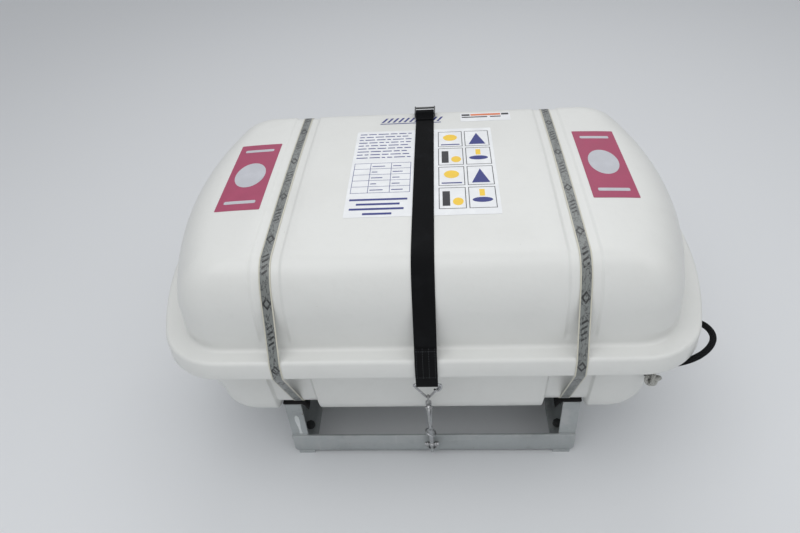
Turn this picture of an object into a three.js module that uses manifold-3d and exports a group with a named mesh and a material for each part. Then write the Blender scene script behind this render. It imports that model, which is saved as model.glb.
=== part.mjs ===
// Inflatable liferaft canister, banded shut and lashed to its deck cradle. Millimetres, +Z up.
// The front (hook side) faces -Y, the long side runs along X, and the deck is z = 0.
import * as THREE from "three";
import { mergeVertices } from "three/addons/utils/BufferGeometryUtils.js";
import Module from "manifold-3d";

const wasm = await Module();
wasm.setup();

// Driving dimensions of the canister
const flangeLength = 1090;
const flangeDepth = 700;
const flangeCornerRadius = 130;
const flangeEndRadius = 800;
const skirtHeight = 40;
const skirtDraft = 1.5;
const flangeEdgeRadius = 7;
const shellWall = 4;
const seamGap = 0.3;
const sealThickness = 5;

// The dome above the shelf
const shelfEnd = 47;
const shelfFront = 35;
const domeLength = flangeLength - 2 * shelfEnd;
const domeDepth = flangeDepth - 2 * shelfFront;
const domeRise = 173;
const domeCrown = 7;
const domeWallRise = 68;
const domeEndDraft = 0.06;
const domeFrontDraft = 0.02;
const domeEndRound = 94;
const domeFrontRound = 64;
const domeCornerRadius = 92;
const domeTopCornerRadius = 45;
const domeEndRadius = 826;
const coveRadius = 8;

// The lower shell below the shelf
const rimFront = 38;
const lowerLength = domeLength;
const lowerDepth = flangeDepth - 2 * rimFront;
const lowerDrop = 236;
const lowerEndTaper = 37;
const lowerFrontTaper = 26;
const lowerEndRound = 73;
const lowerFrontRound = 43;
const lowerRoundRise = 59;
const lowerCornerRadius = 90;
const lowerBottomCornerRadius = 42;
const lowerEndRadius = 1200;

// Recesses that the closing bands lie in
const bandSpacing = 543;
const bandWidth = 16;
const bandThickness = 1.2;
const upperRecess = { width: 46, slope: 8, depth: 3 };
const lowerRecess = { width: 78, slope: 7, depth: 8, floorDepth: 19 };

// Lashing webbing
const webWidth = 40;
const webThickness = 2.5;
const touchGap = 0.3;

// Cradle
const padHeight = 8;
const padLength = 118;
const padWidth = 50;
const steel = 5;
const railHeight = 154.8;
const railLedge = 35;
const railFoot = 45;
const railPastBand = 36.5;
const railSpan = bandSpacing + 2 * railPastBand;
const cradleDepth = 524;
const barHeight = 52;
const barLeg = 35;
const rubberThickness = 7;
const rubberWidth = 48;
const lugThickness = 6;

// Deck bolts, M10
const boltRadius = 5;
const boltHeadFlats = 17;
const boltHeadHeight = 7;
const boltInset = 26;
const boltFromEnd = 58;
const boltSpacingX = railSpan - 2 * boltInset;
const boltSpacingY = cradleDepth - 2 * boltFromEnd;

// Heights that follow
const rubberTop = padHeight + railHeight + touchGap + rubberThickness;
const canisterBottom = rubberTop + touchGap - lowerRecess.floorDepth;
const shelfZ = canisterBottom + lowerDrop;
const domeTop = shelfZ + domeRise + domeCrown;
const bandX = bandSpacing / 2;

const paints = {
  gelcoat: { color: 0xd9dbd8, roughness: 0.38, metalness: 0 },
  seal: { color: 0x2a2a2c, roughness: 0.8, metalness: 0 },
  bandFilm: { color: 0x7d807d, roughness: 0.45, metalness: 0 },
  crimp: { color: 0xa9acae, roughness: 0.35, metalness: 0.9 },
  webbing: { color: 0x191b1e, roughness: 0.9, metalness: 0 },
  stainless: { color: 0xc4c6c8, roughness: 0.25, metalness: 1 },
  cradlePaint: { color: 0x8d9292, roughness: 0.55, metalness: 0.1 },
  blackRubber: { color: 0x141414, roughness: 0.85, metalness: 0 },
  zinc: { color: 0x9b9fa0, roughness: 0.4, metalness: 0.9 },
  blackRope: { color: 0x111214, roughness: 0.9, metalness: 0 },
  whiteRope: { color: 0xcfd0cb, roughness: 0.85, metalness: 0 },
  raftFabric: { color: 0xc8501e, roughness: 0.8, metalness: 0 },
  cylinderPaint: { color: 0xb9bdbf, roughness: 0.5, metalness: 0.2 },
  packFabric: { color: 0xd8a02a, roughness: 0.8, metalness: 0 },
};

const root = new THREE.Group();

function add(name, geometry, paint, parent = root) {
  const material = new THREE.MeshStandardMaterial(paints[paint]);
  const mesh = new THREE.Mesh(geometry, material);
  mesh.name = name;
  parent.add(mesh);
  return mesh;
}

// Solid helpers

function toSolid(geometry) {
  const bare = geometry.clone();
  bare.deleteAttribute("normal");
  bare.deleteAttribute("uv");
  const merged = mergeVertices(bare, 1e-4);
  return new wasm.Manifold(
    new wasm.Mesh({
      numProp: 3,
      vertProperties: new Float32Array(merged.getAttribute("position").array),
      triVerts: new Uint32Array(merged.index.array),
    }),
  );
}

function toGeometry(solid) {
  const mesh = solid.getMesh();
  const geometry = new THREE.BufferGeometry();
  geometry.setAttribute("position", new THREE.BufferAttribute(new Float32Array(mesh.vertProperties), 3));
  geometry.setIndex(new THREE.BufferAttribute(new Uint32Array(mesh.triVerts), 1));
  const flat = geometry.toNonIndexed();
  flat.computeVertexNormals();
  return flat;
}

function join(...geometries) {
  return toGeometry(geometries.map(toSolid).reduce((a, b) => a.add(b)));
}

function cut(geometry, ...tools) {
  return toGeometry(tools.map(toSolid).reduce((a, b) => a.subtract(b), toSolid(geometry)));
}

// A surface through rings of points. Each ring has the same number of points, anticlockwise from above.
function loft(rings, closed = false) {
  const positions = [];
  const indices = [];
  const count = rings[0].length;
  rings.flat().forEach((p) => positions.push(p.x, p.y, p.z));
  const strips = closed ? rings.length : rings.length - 1;
  for (let i = 0; i < strips; i++) {
    const next = (i + 1) % rings.length;
    for (let j = 0; j < count; j++) {
      const k = (j + 1) % count;
      indices.push(i * count + j, i * count + k, next * count + k);
      indices.push(i * count + j, next * count + k, next * count + j);
    }
  }
  const raw = new THREE.BufferGeometry();
  raw.setAttribute("position", new THREE.Float32BufferAttribute(positions, 3));
  raw.setIndex(indices);
  const merged = mergeVertices(raw, 1e-4);
  const kept = [];
  const index = merged.index.array;
  for (let i = 0; i < index.length; i += 3) {
    const [a, b, c] = [index[i], index[i + 1], index[i + 2]];
    if (a !== b && b !== c && c !== a) kept.push(a, b, c);
  }
  merged.setIndex(kept);
  merged.computeVertexNormals();
  return merged;
}

// A round section swept round a closed flat path of points
function closedTube(points, radius, sides = 8) {
  const count = points.length;
  const normal = planeNormal(points);
  const rings = points.map((p, i) => {
    const before = p.clone().sub(points[(i + count - 1) % count]).normalize();
    const after = points[(i + 1) % count].clone().sub(p).normalize();
    const side = new THREE.Vector3().crossVectors(normal, before.add(after)).normalize();
    return Array.from({ length: sides }, (_, j) => {
      const a = (2 * Math.PI * (j + 0.5)) / sides;
      return p
        .clone()
        .addScaledVector(side, radius * Math.cos(a))
        .addScaledVector(normal, radius * Math.sin(a));
    });
  });
  const geometry = loft(rings, true);
  return toSolid(geometry).volume() > 0 ? geometry : loft(rings.reverse(), true);
}

function planeNormal(points) {
  const sum = new THREE.Vector3();
  points.forEach((p, i) => sum.add(new THREE.Vector3().crossVectors(p, points[(i + 1) % points.length])));
  return sum.normalize();
}

function openTube(points, radius, steps, sides = 10) {
  const section = new THREE.Shape(
    Array.from({ length: sides }, (_, i) => {
      const a = (2 * Math.PI * i) / sides;
      return new THREE.Vector2(radius * Math.cos(a), radius * Math.sin(a));
    }),
  );
  const curve = new THREE.CatmullRomCurve3(points);
  return new THREE.ExtrudeGeometry(section, { steps, extrudePath: curve });
}

function box(x0, x1, y0, y1, z0, z1) {
  const geometry = new THREE.BoxGeometry(x1 - x0, y1 - y0, z1 - z0);
  return geometry.translate((x0 + x1) / 2, (y0 + y1) / 2, (z0 + z1) / 2);
}

// A cylinder along X, Y or Z between two stations
function rod(axis, a, b, centre, radius, sides = 24) {
  const geometry = new THREE.CylinderGeometry(radius, radius, b - a, sides);
  const mid = (a + b) / 2;
  if (axis === "x") return geometry.rotateZ(-Math.PI / 2).translate(mid, centre[0], centre[1]);
  if (axis === "y") return geometry.translate(centre[0], mid, centre[1]);
  return geometry.rotateX(Math.PI / 2).translate(centre[0], centre[1], mid);
}

// A flat outline in the Y-Z plane given thickness along X
function slabX(outline, x0, x1, hole = null) {
  const shape = new THREE.Shape(outline.map(([y, z]) => new THREE.Vector2(y, z)));
  if (hole) shape.holes.push(new THREE.Path(hole.map(([y, z]) => new THREE.Vector2(y, z))));
  const geometry = new THREE.ExtrudeGeometry(shape, { depth: x1 - x0, bevelEnabled: false });
  const basis = new THREE.Matrix4().makeBasis(
    new THREE.Vector3(0, 1, 0),
    new THREE.Vector3(0, 0, 1),
    new THREE.Vector3(1, 0, 0),
  );
  return geometry.applyMatrix4(basis).translate(x0, 0, 0);
}

// A flat outline in the X-Z plane given thickness along Y
function slabY(outline, y0, y1) {
  const shape = new THREE.Shape(outline.map(([x, z]) => new THREE.Vector2(x, z)));
  const geometry = new THREE.ExtrudeGeometry(shape, { depth: y1 - y0, bevelEnabled: false });
  const basis = new THREE.Matrix4().makeBasis(
    new THREE.Vector3(1, 0, 0),
    new THREE.Vector3(0, 0, 1),
    new THREE.Vector3(0, -1, 0),
  );
  return geometry.applyMatrix4(basis).translate(0, y1, 0);
}

// Plan outlines: straight front and back, round corners and slightly bowed ends

const cornerSteps = 6;
const endSteps = 3;

function quadrant(halfLength, halfDepth, cornerRadius, endRadius, straightX) {
  const endCentre = halfLength - endRadius;
  const cornerY = -(halfDepth - cornerRadius);
  const reach = endRadius - cornerRadius;
  const cornerX = endCentre + Math.sqrt(reach * reach - cornerY * cornerY);
  const endAngle = Math.atan2(cornerY, cornerX - endCentre);
  const points = straightX.map((x) => [x, -halfDepth]);
  for (let i = 0; i < cornerSteps; i++) {
    const a = -Math.PI / 2 + ((endAngle + Math.PI / 2) * i) / cornerSteps;
    points.push([cornerX + cornerRadius * Math.cos(a), cornerY + cornerRadius * Math.sin(a)]);
  }
  for (let i = 0; i <= endSteps; i++) {
    const a = endAngle * (1 - i / endSteps);
    points.push([endCentre + endRadius * Math.cos(a), endRadius * Math.sin(a)]);
  }
  points[points.length - 1][1] = 0;
  return points;
}

// One ring of a shell. place(x, y) gives the height and the recess shift of a point.
function ring(station, straightX, recessAt) {
  const q = quadrant(station.length / 2, station.depth / 2, station.corner, station.end, straightX);
  const shifted = q.map(([x, y]) => {
    const depth = recessAt(x) * (station.recess ?? 0);
    const squeeze = 1 - (station.inward ?? 0);
    const lift = station.crown ? station.crown * (1 - (x / (station.length / 2)) ** 4) : 0;
    return [x, (y + depth * (station.side ?? 0)) * squeeze, station.z + lift - depth * (station.up ?? 0)];
  });
  const right = shifted.concat(shifted.slice(0, -1).reverse().map(([x, y, z]) => [x, -y, z]));
  const left = right.slice(1, -1).reverse().map(([x, y, z]) => [-x, y, z]);
  return right.concat(left).map(([x, y, z]) => new THREE.Vector3(x, y === 0 ? 0 : y, z));
}

// How deep the band recess is at x, from 0 to 1
function recessShare(recess) {
  return (x) => {
    const off = Math.abs(Math.abs(x) - bandX) - recess.width / 2;
    if (off <= 0) return 1;
    return off >= recess.slope ? 0 : 1 - off / recess.slope;
  };
}

function recessStations(recess) {
  const inner = bandX - recess.width / 2;
  const outer = bandX + recess.width / 2;
  return [0, 130, inner - recess.slope, inner, outer, outer + recess.slope];
}

// Upper shell: dome, shelf and overhanging skirt

function domeStations(inset, cornerRings, crownRings) {
  const stations = [];
  const recess = upperRecess.depth;
  const length = domeLength - 2 * inset;
  const depth = domeDepth - 2 * inset;
  const floor = shelfZ - (inset > 0 ? shellWall : 0);
  const corner = (share) =>
    Math.max(domeCornerRadius + (domeTopCornerRadius - domeCornerRadius) * share - inset, 20);
  const wall = (rise, share) => ({
    length: length - 2 * domeEndDraft * rise,
    depth: depth - 2 * domeFrontDraft * rise,
    corner: corner(share * 0.4),
    end: domeEndRadius,
    z: shelfZ + rise,
    recess: share * recess,
    side: 1,
  });
  if (inset === 0) {
    stations.push({ ...wall(0, 0), length: length + 2 * coveRadius, depth: depth + 2 * coveRadius });
    stations.push({ ...wall(coveRadius * 0.3, 0), length: length + coveRadius * 0.6, depth: depth + coveRadius * 0.6 });
    stations.push(wall(coveRadius, 0));
    stations.push(wall(domeWallRise * 0.45, 1));
  } else {
    stations.push({ ...wall(0, 0), z: floor });
    stations.push({ ...wall(coveRadius, 0) });
    stations.push(wall(domeWallRise * 0.45, 1));
  }
  const top = wall(domeWallRise, 1);
  stations.push(top);
  const rise = domeRise - domeWallRise - inset;
  const endRound = domeEndRound - inset;
  const frontRound = domeFrontRound - inset;
  for (let i = 1; i <= cornerRings; i++) {
    const a = (Math.PI / 2) * (i / cornerRings);
    const ny = rise * Math.cos(a);
    const nz = frontRound * Math.sin(a);
    const n = Math.hypot(ny, nz);
    stations.push({
      length: top.length - 2 * endRound * (1 - Math.cos(a)),
      depth: top.depth - 2 * frontRound * (1 - Math.cos(a)),
      corner: corner(0.4 + (0.6 * i) / cornerRings),
      end: domeEndRadius,
      z: top.z + rise * Math.sin(a),
      recess,
      side: ny / n,
      up: nz / n,
    });
  }
  const rim = stations[stations.length - 1];
  for (let i = 1; i <= crownRings; i++) {
    const share = i / crownRings;
    stations.push({ ...rim, inward: share, crown: domeCrown * (1 - (1 - share) ** 2) });
  }
  return stations;
}

function flangeStation(inset, z, extra = {}) {
  return {
    length: flangeLength - 2 * inset,
    depth: flangeDepth - 2 * inset,
    corner: flangeCornerRadius - inset,
    end: flangeEndRadius,
    z,
    ...extra,
  };
}

const upperX = recessStations(upperRecess);
const upperShare = recessShare(upperRecess);
const edgeDrop = flangeEdgeRadius * (1 - Math.SQRT1_2);
const upperOuter = [
  flangeStation(0, shelfZ - skirtHeight),
  flangeStation(skirtDraft * 0.8, shelfZ - flangeEdgeRadius),
  flangeStation(skirtDraft + edgeDrop, shelfZ - edgeDrop),
  flangeStation(skirtDraft + flangeEdgeRadius, shelfZ),
  ...domeStations(0, 6, 3),
];
const upperInner = [
  flangeStation(shellWall, shelfZ - skirtHeight),
  flangeStation(shellWall + skirtDraft, shelfZ - shellWall),
  ...domeStations(shellWall, 4, 2),
];
const upperRings = [...upperInner.slice().reverse(), ...upperOuter].map((s) => ring(s, upperX, upperShare));
add("upper_shell", loft(upperRings), "gelcoat");

// Lower shell: tub with a rim that sits inside the skirt

const rimInset = shellWall + skirtDraft + 2.5;
const rimTop = shelfZ - shellWall - seamGap - sealThickness - seamGap;
const rimBottom = rimTop - shellWall;

function tubStations(inset, cornerRings) {
  const corner = (share) =>
    Math.max(lowerCornerRadius + (lowerBottomCornerRadius - lowerCornerRadius) * share - inset, 18);
  const bottomZ = canisterBottom + (inset > 0 ? shellWall : 0);
  const roundRise = lowerRoundRise - inset;
  const wallBottom = bottomZ + roundRise;
  const wallTop = inset > 0 ? rimTop : rimBottom;
  const wallSpan = shelfZ - 20 - (canisterBottom + lowerRoundRise);
  const wall = (z, deep) => {
    const share = Math.min(Math.max((shelfZ - 20 - z) / wallSpan, 0), 1);
    return {
      length: lowerLength - 2 * inset - 2 * lowerEndTaper * share,
      depth: lowerDepth - 2 * inset - 2 * lowerFrontTaper * share,
      corner: corner(0.15 * share),
      end: lowerEndRadius,
      z,
      recess: deep * lowerRecess.depth,
      side: 1,
    };
  };
  const foot = wall(wallBottom, 1);
  const rounds = [];
  for (let i = 0; i <= cornerRings; i++) {
    const a = (Math.PI / 2) * (i / cornerRings);
    const deep = lowerRecess.depth + (lowerRecess.floorDepth - lowerRecess.depth) * Math.sin(a);
    const ny = roundRise * Math.cos(a);
    const nz = (lowerFrontRound - inset) * Math.sin(a);
    const n = Math.hypot(ny, nz);
    rounds.push({
      ...foot,
      length: foot.length - 2 * (lowerEndRound - inset) * (1 - Math.cos(a)),
      depth: foot.depth - 2 * (lowerFrontRound - inset) * (1 - Math.cos(a)),
      corner: corner(0.15 + 0.85 * (i / cornerRings)),
      z: wallBottom - roundRise * Math.sin(a),
      recess: deep,
      side: ny / n,
      up: -nz / n,
    });
  }
  const floor = { ...rounds[rounds.length - 1], inward: 1 };
  return [floor, ...rounds.reverse(), wall(shelfZ - 62, 1), wall(shelfZ - 34, 0), wall(wallTop, 0)];
}

const lowerX = recessStations(lowerRecess);
const lowerShare = recessShare(lowerRecess);
const lowerOuter = [
  ...tubStations(0, 5),
  flangeStation(rimInset, rimBottom),
  flangeStation(rimInset, rimTop),
];
const lowerInner = tubStations(shellWall, 3);
const lowerRings = [...lowerOuter, ...lowerInner.reverse()].map((s) => ring(s, lowerX, lowerShare));
let tub = loft(lowerRings);

// Painter outlet and rope handles go through the tub's corners
const painterAngle = (-60 * Math.PI) / 180;
const painterDrop = 100;
const painterRopeRadius = 4;
const painterHoleRadius = 10;
const handleRopeRadius = 5;
const handleHoleRadius = handleRopeRadius + 0.8;

// Point on the tub's round corner at a plan angle and a height
function cornerPoint(angle, z) {
  const share = (shelfZ - 20 - z) / (shelfZ - 20 - (canisterBottom + lowerRoundRise));
  const halfLength = lowerLength / 2 - lowerEndTaper * share;
  const halfDepth = lowerDepth / 2 - lowerFrontTaper * share;
  const r = lowerCornerRadius + (lowerBottomCornerRadius - lowerCornerRadius) * 0.15 * share;
  const cy = -(halfDepth - r);
  const endCentre = halfLength - lowerEndRadius;
  const cx = endCentre + Math.sqrt((lowerEndRadius - r) ** 2 - cy * cy);
  return new THREE.Vector3(cx + r * Math.cos(angle), cy + r * Math.sin(angle), z);
}

// The same point with the wall's outward normal, which leans down with the taper
function tubCorner(angle, z) {
  const point = cornerPoint(angle, z);
  const level = new THREE.Vector3(Math.cos(angle), Math.sin(angle), 0);
  const lean = cornerPoint(angle, z + 1).sub(point).dot(level);
  const normal = level.clone().setZ(-lean).normalize();
  return { point, normal };
}

function rodAlong(from, to, radius, sides = 20) {
  const span = to.clone().sub(from);
  const geometry = new THREE.CylinderGeometry(radius, radius, span.length(), sides);
  const turn = new THREE.Quaternion().setFromUnitVectors(new THREE.Vector3(0, 1, 0), span.clone().normalize());
  return geometry.applyQuaternion(turn).translate(...from.clone().lerp(to, 0.5));
}

const outlet = tubCorner(painterAngle, shelfZ - painterDrop);
const handleEnds = [tubCorner((-14 * Math.PI) / 180, shelfZ - 58), tubCorner((-68 * Math.PI) / 180, shelfZ - 58)];
const drill = (spot, radius) =>
  rodAlong(
    spot.point.clone().addScaledVector(spot.normal, -20),
    spot.point.clone().addScaledVector(spot.normal, 20),
    radius,
  );
const handleDrills = handleEnds.flatMap((spot) => {
  const front = drill(spot, handleHoleRadius);
  return [front, front.clone().rotateZ(Math.PI)];
});
tub = cut(tub, drill(outlet, painterHoleRadius), ...handleDrills);
add("lower_shell", tub, "gelcoat");

// Rubber seal between the two flanges
const sealWidth = 22;
const sealBottom = rimTop + seamGap;
const sealTop = sealBottom + sealThickness;
const sealOuter = rimInset + 3;
const sealRings = [
  flangeStation(sealOuter + sealWidth, sealBottom),
  flangeStation(sealOuter, sealBottom),
  flangeStation(sealOuter, sealTop),
  flangeStation(sealOuter + sealWidth, sealTop),
].map((s) => ring(s, [0], () => 0));
add("shell_seal", loft(sealRings, true), "seal");

// Sections of the two shells at one x, as [y, z] points of the front half
function section(rings, x) {
  return rings.map((points) => {
    for (let i = 0; i < points.length; i++) {
      const a = points[i];
      const b = points[(i + 1) % points.length];
      if (a.x <= x && x <= b.x && a.y <= 0 && b.y <= 0 && a.x !== b.x) {
        const t = (x - a.x) / (b.x - a.x);
        return [a.y + (b.y - a.y) * t, a.z + (b.z - a.z) * t];
      }
    }
    return null;
  }).filter((p) => p);
}

function hull(points) {
  const sorted = points.slice().sort((a, b) => a[0] - b[0] || a[1] - b[1]);
  const turn = (o, a, b) => (a[0] - o[0]) * (b[1] - o[1]) - (a[1] - o[1]) * (b[0] - o[0]);
  const half = (list) => {
    const out = [];
    for (const p of list) {
      while (out.length > 1 && turn(out[out.length - 2], out[out.length - 1], p) <= 1e-3) out.pop();
      out.push(p);
    }
    out.pop();
    return out;
  };
  return [...half(sorted), ...half(sorted.slice().reverse())];
}

// Moves each corner of a path outwards. The path turns anticlockwise, so outwards is to its right.
function offsetPath(points, distance, closed) {
  const last = points.length - 1;
  const edgeNormal = (a, b) => {
    const length = Math.hypot(b[0] - a[0], b[1] - a[1]);
    return [(b[1] - a[1]) / length, -(b[0] - a[0]) / length];
  };
  return points.map((p, i) => {
    const d = typeof distance === "function" ? distance(i) : distance;
    const before = i > 0 ? points[i - 1] : closed ? points[last] : null;
    const after = i < last ? points[i + 1] : closed ? points[0] : null;
    const n1 = before ? edgeNormal(before, p) : edgeNormal(p, after);
    const n2 = after ? edgeNormal(p, after) : n1;
    const scale = d / (1 + n1[0] * n2[0] + n1[1] * n2[1]);
    return [p[0] + (n1[0] + n2[0]) * scale, p[1] + (n1[1] + n2[1]) * scale];
  });
}

const outerRings = [
  ...upperOuter.map((s) => ring(s, upperX, upperShare)),
  ...lowerOuter.map((s) => ring(s, lowerX, lowerShare)),
];
const bothSides = (points) => points.flatMap(([y, z]) => [[y, z], [-y, z]]);

// Closing bands: taut round the whole section
const bandHull = hull(bothSides(section(outerRings, bandX)));
const bandInner = offsetPath(bandHull, touchGap, true);
const bandOuter = offsetPath(bandHull, touchGap + bandThickness, true);

// A crimped seal on each band, on the straight stretch below the skirt at the back
const crimpLength = 34;
const crimpWall = 1;
function bandSeal(sign) {
  let best = null;
  bandOuter.forEach((p, i) => {
    const q = bandOuter[(i + 1) % bandOuter.length];
    const mid = [(p[0] + q[0]) / 2, (p[1] + q[1]) / 2];
    const length = Math.hypot(q[0] - p[0], q[1] - p[1]);
    const wanted = mid[0] > 0 && mid[1] < shelfZ - skirtHeight && mid[1] > canisterBottom + 30;
    if (wanted && (!best || length > best.length)) best = { p, q, mid, length };
  });
  const along = [(best.q[0] - best.p[0]) / best.length, (best.q[1] - best.p[1]) / best.length];
  const out = [along[1], -along[0]];
  const spot = (s, n) => [best.mid[0] + along[0] * s + out[0] * n, best.mid[1] + along[1] * s + out[1] * n];
  const half = crimpLength / 2;
  const inside = -bandThickness - touchGap;
  const shellSide = inside - crimpWall;
  const outline = [spot(-half, shellSide), spot(half, shellSide), spot(half, 1.6), spot(-half, 1.6)];
  const window = [spot(-half - 1, inside), spot(half + 1, inside), spot(half + 1, touchGap), spot(-half - 1, touchGap)];
  const halfWidth = bandWidth / 2 + touchGap + 1.3;
  const x = sign * bandX;
  const body = slabX(outline, x - halfWidth, x + halfWidth);
  const bore = slabX(window, x - bandWidth / 2 - touchGap, x + bandWidth / 2 + touchGap);
  return cut(body, bore);
}

for (const [side, sign] of [["left", -1], ["right", 1]]) {
  const x = sign * bandX;
  add("band_" + side, slabX(bandOuter, x - bandWidth / 2, x + bandWidth / 2, bandInner), "bandFilm");
  add("band_seal_" + side, bandSeal(sign), "crimp");
}

// Cradle: two channel rails, a front and a back angle bar, rubber and feet

const railTop = padHeight + railHeight;
const railOuter = railSpan / 2;
const endY = cradleDepth / 2;
const boltX = boltSpacingX / 2;
const boltY = boltSpacingY / 2;
const bendRadius = 6;

function arcPoints(cx, cz, r, from, to, steps = 3) {
  return Array.from({ length: steps + 1 }, (_, i) => {
    const a = ((from + ((to - from) * i) / steps) * Math.PI) / 180;
    return [cx + r * Math.cos(a), cz + r * Math.sin(a)];
  });
}

// Channel section of the left rail, open towards the middle
const channel = [
  [-railOuter + railFoot, padHeight],
  [-railOuter + railFoot, padHeight + steel],
  [-railOuter + steel, padHeight + steel],
  [-railOuter + steel, railTop - steel],
  [-railOuter + railLedge, railTop - steel],
  [-railOuter + railLedge, railTop],
  ...arcPoints(-railOuter + bendRadius, railTop - bendRadius, bendRadius, 90, 180),
  ...arcPoints(-railOuter + bendRadius, padHeight + bendRadius, bendRadius, 180, 270),
];

function rail(sign) {
  const outline = channel.map(([x, z]) => [-sign * x, z]);
  const body = slabY(outline, -endY, endY);
  const plates = [-1, 1].map((end) => {
    const [x0, x1] = [sign * (railOuter - 0.5), sign * (railOuter - railLedge)].sort((a, b) => a - b);
    const [y0, y1] = [end * endY, end * (endY - steel)].sort((a, b) => a - b);
    return box(x0, x1, y0, y1, padHeight + 0.5, railTop - 0.5);
  });
  const holes = [-1, 1].map((end) => rod("z", 0, 30, [sign * boltX, end * boltY], boltRadius + 0.5, 16));
  return cut(join(body, ...plates), ...holes);
}

// Rubber on the ledge: flat, with a groove for the band and a lip that hangs over the ledge's edge
const rubberDroop = 9;
const bandSlot = { half: bandWidth / 2 + 1.5, depth: 1.9 };
const rubberBase = railTop + touchGap;
const rubberSection = [
  [-railOuter - 2, rubberBase],
  [-railOuter + railLedge + 1, rubberBase],
  [-railOuter + rubberWidth, rubberBase - rubberDroop],
  [-railOuter + rubberWidth + 3, rubberBase - rubberDroop + 4],
  [-railOuter + railLedge + 2, rubberTop - bandSlot.depth],
  [-bandX - bandSlot.half, rubberTop - bandSlot.depth],
  [-bandX - bandSlot.half, rubberTop],
  [-railOuter - 2, rubberTop],
];

// Angle bar across the front: an upright leg with clipped lower corners, a foot between the rails and a lug
const lugRadius = 9;
const lugHoleRadius = 4.8;
const barFace = -(endY + touchGap + steel);
const lugY = barFace - lugRadius;
const lugZ = padHeight + 19;
const clip = 7;

function crossBar() {
  const h = padHeight + barHeight;
  const outline = [
    [-railOuter, h],
    [-railOuter, padHeight + clip],
    [-railOuter + clip, padHeight],
    [railOuter - clip, padHeight],
    [railOuter, padHeight + clip],
    [railOuter, h],
  ];
  const footX = railOuter - railFoot - 5;
  const upright = slabY(outline, barFace, barFace + steel);
  const foot = box(-footX, footX, barFace + steel - 0.5, barFace + barLeg, padHeight, padHeight + steel);
  const half = lugThickness / 2;
  const lugPlate = box(-half, half, lugY, barFace + 0.5, lugZ - lugRadius, lugZ + lugRadius);
  const lugEye = rod("x", -half, half, [lugY, lugZ], lugRadius);
  const lugHole = rod("x", -half - 1, half + 1, [lugY, lugZ], lugHoleRadius);
  return cut(join(upright, foot, lugPlate, lugEye), lugHole);
}

add("cradle_front_bar", crossBar(), "cradlePaint");
add("cradle_rear_bar", crossBar().rotateZ(Math.PI), "cradlePaint");

for (const [side, sign] of [["left", -1], ["right", 1]]) {
  add("cradle_rail_" + side, rail(sign), "cradlePaint");
  const strip = rubberSection.map(([x, z]) => [-sign * x, z]);
  add("rubber_strip_" + side, slabY(strip, -endY + 1, endY - 1), "blackRubber");
  for (const [end, dir] of [["front", -1], ["rear", 1]]) {
    const [bx, by] = [sign * boltX, dir * boltY];
    const footMid = sign * (railOuter - 8 - padWidth / 2);
    const footY = dir * (-barFace + 1 - padLength / 2);
    const foot = box(
      footMid - padWidth / 2,
      footMid + padWidth / 2,
      footY - padLength / 2,
      footY + padLength / 2,
      0,
      padHeight - touchGap,
    );
    add("foot_pad_" + end + "_" + side, cut(foot, rod("z", -1, 30, [bx, by], boltRadius + 0.5, 16)), "blackRubber");
    const washerTop = padHeight + steel + touchGap + 2;
    const washer = rod("z", padHeight + steel + touchGap, washerTop, [bx, by], 10.5, 16);
    const head = new THREE.CylinderGeometry(
      boltHeadFlats / Math.sqrt(3),
      boltHeadFlats / Math.sqrt(3),
      boltHeadHeight,
      6,
    )
      .rotateX(Math.PI / 2)
      .translate(bx, by, washerTop + boltHeadHeight / 2 - 0.1);
    const shank = rod("z", 0.5, washerTop, [bx, by], boltRadius, 12);
    add("deck_bolt_" + end + "_" + side, join(shank, washer, head), "zinc");
  }
}

// Lashing: the webbing, its slide buckle and the two end fittings

const wireRadius = 2.2;
const webLoopRadius = wireRadius + touchGap + webThickness;
const doubled = 2 * webThickness + touchGap;
const strapTopY = -(flangeDepth / 2 + touchGap + doubled / 2);
const strapTopZ = shelfZ - skirtHeight;
const strapLength = Math.hypot(strapTopY - lugY, strapTopZ - lugZ);
const strapLean = Math.atan2(lugY - strapTopY, strapTopZ - lugZ);
// A point of the strap's straight run, at a distance from the lug
const onStrap = (s) => [lugY - Math.sin(strapLean) * s, lugZ + Math.cos(strapLean) * s];

// Stations of the front fitting, measured up the strap from the lug hole
const shackleWire = 2.6;
const shackleHalf = 8.4;
const shackleBow = lugHoleRadius - shackleWire - 3 * touchGap;
const shacklePin = 26;
const shackleBoltRadius = 2.8;
const hookPin = 208;
const bossRadius = 5.2;
const linkWire = 1.6;
const linkHalf = 4.2;
const linkReach = 24;
const lowerLinkFoot = hookPin + bossRadius + touchGap + linkWire + 0.05;
const upperLinkFoot = lowerLinkFoot + linkReach - 2 * linkWire - touchGap;
const deltaApex = upperLinkFoot + linkReach - linkWire - wireRadius - touchGap;
const deltaHeight = 52;
const frontBar = deltaApex + deltaHeight;

// Front fitting in its own group: local +Z runs up the strap, local -Y is outwards
const frontGroup = new THREE.Group();
frontGroup.position.set(0, lugY, lugZ);
frontGroup.rotation.x = strapLean;
root.add(frontGroup);
const rearGroup = new THREE.Group();
rearGroup.position.set(0, -lugY, lugZ);
rearGroup.rotation.set(strapLean, 0, Math.PI, "ZXY");
root.add(rearGroup);

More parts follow.
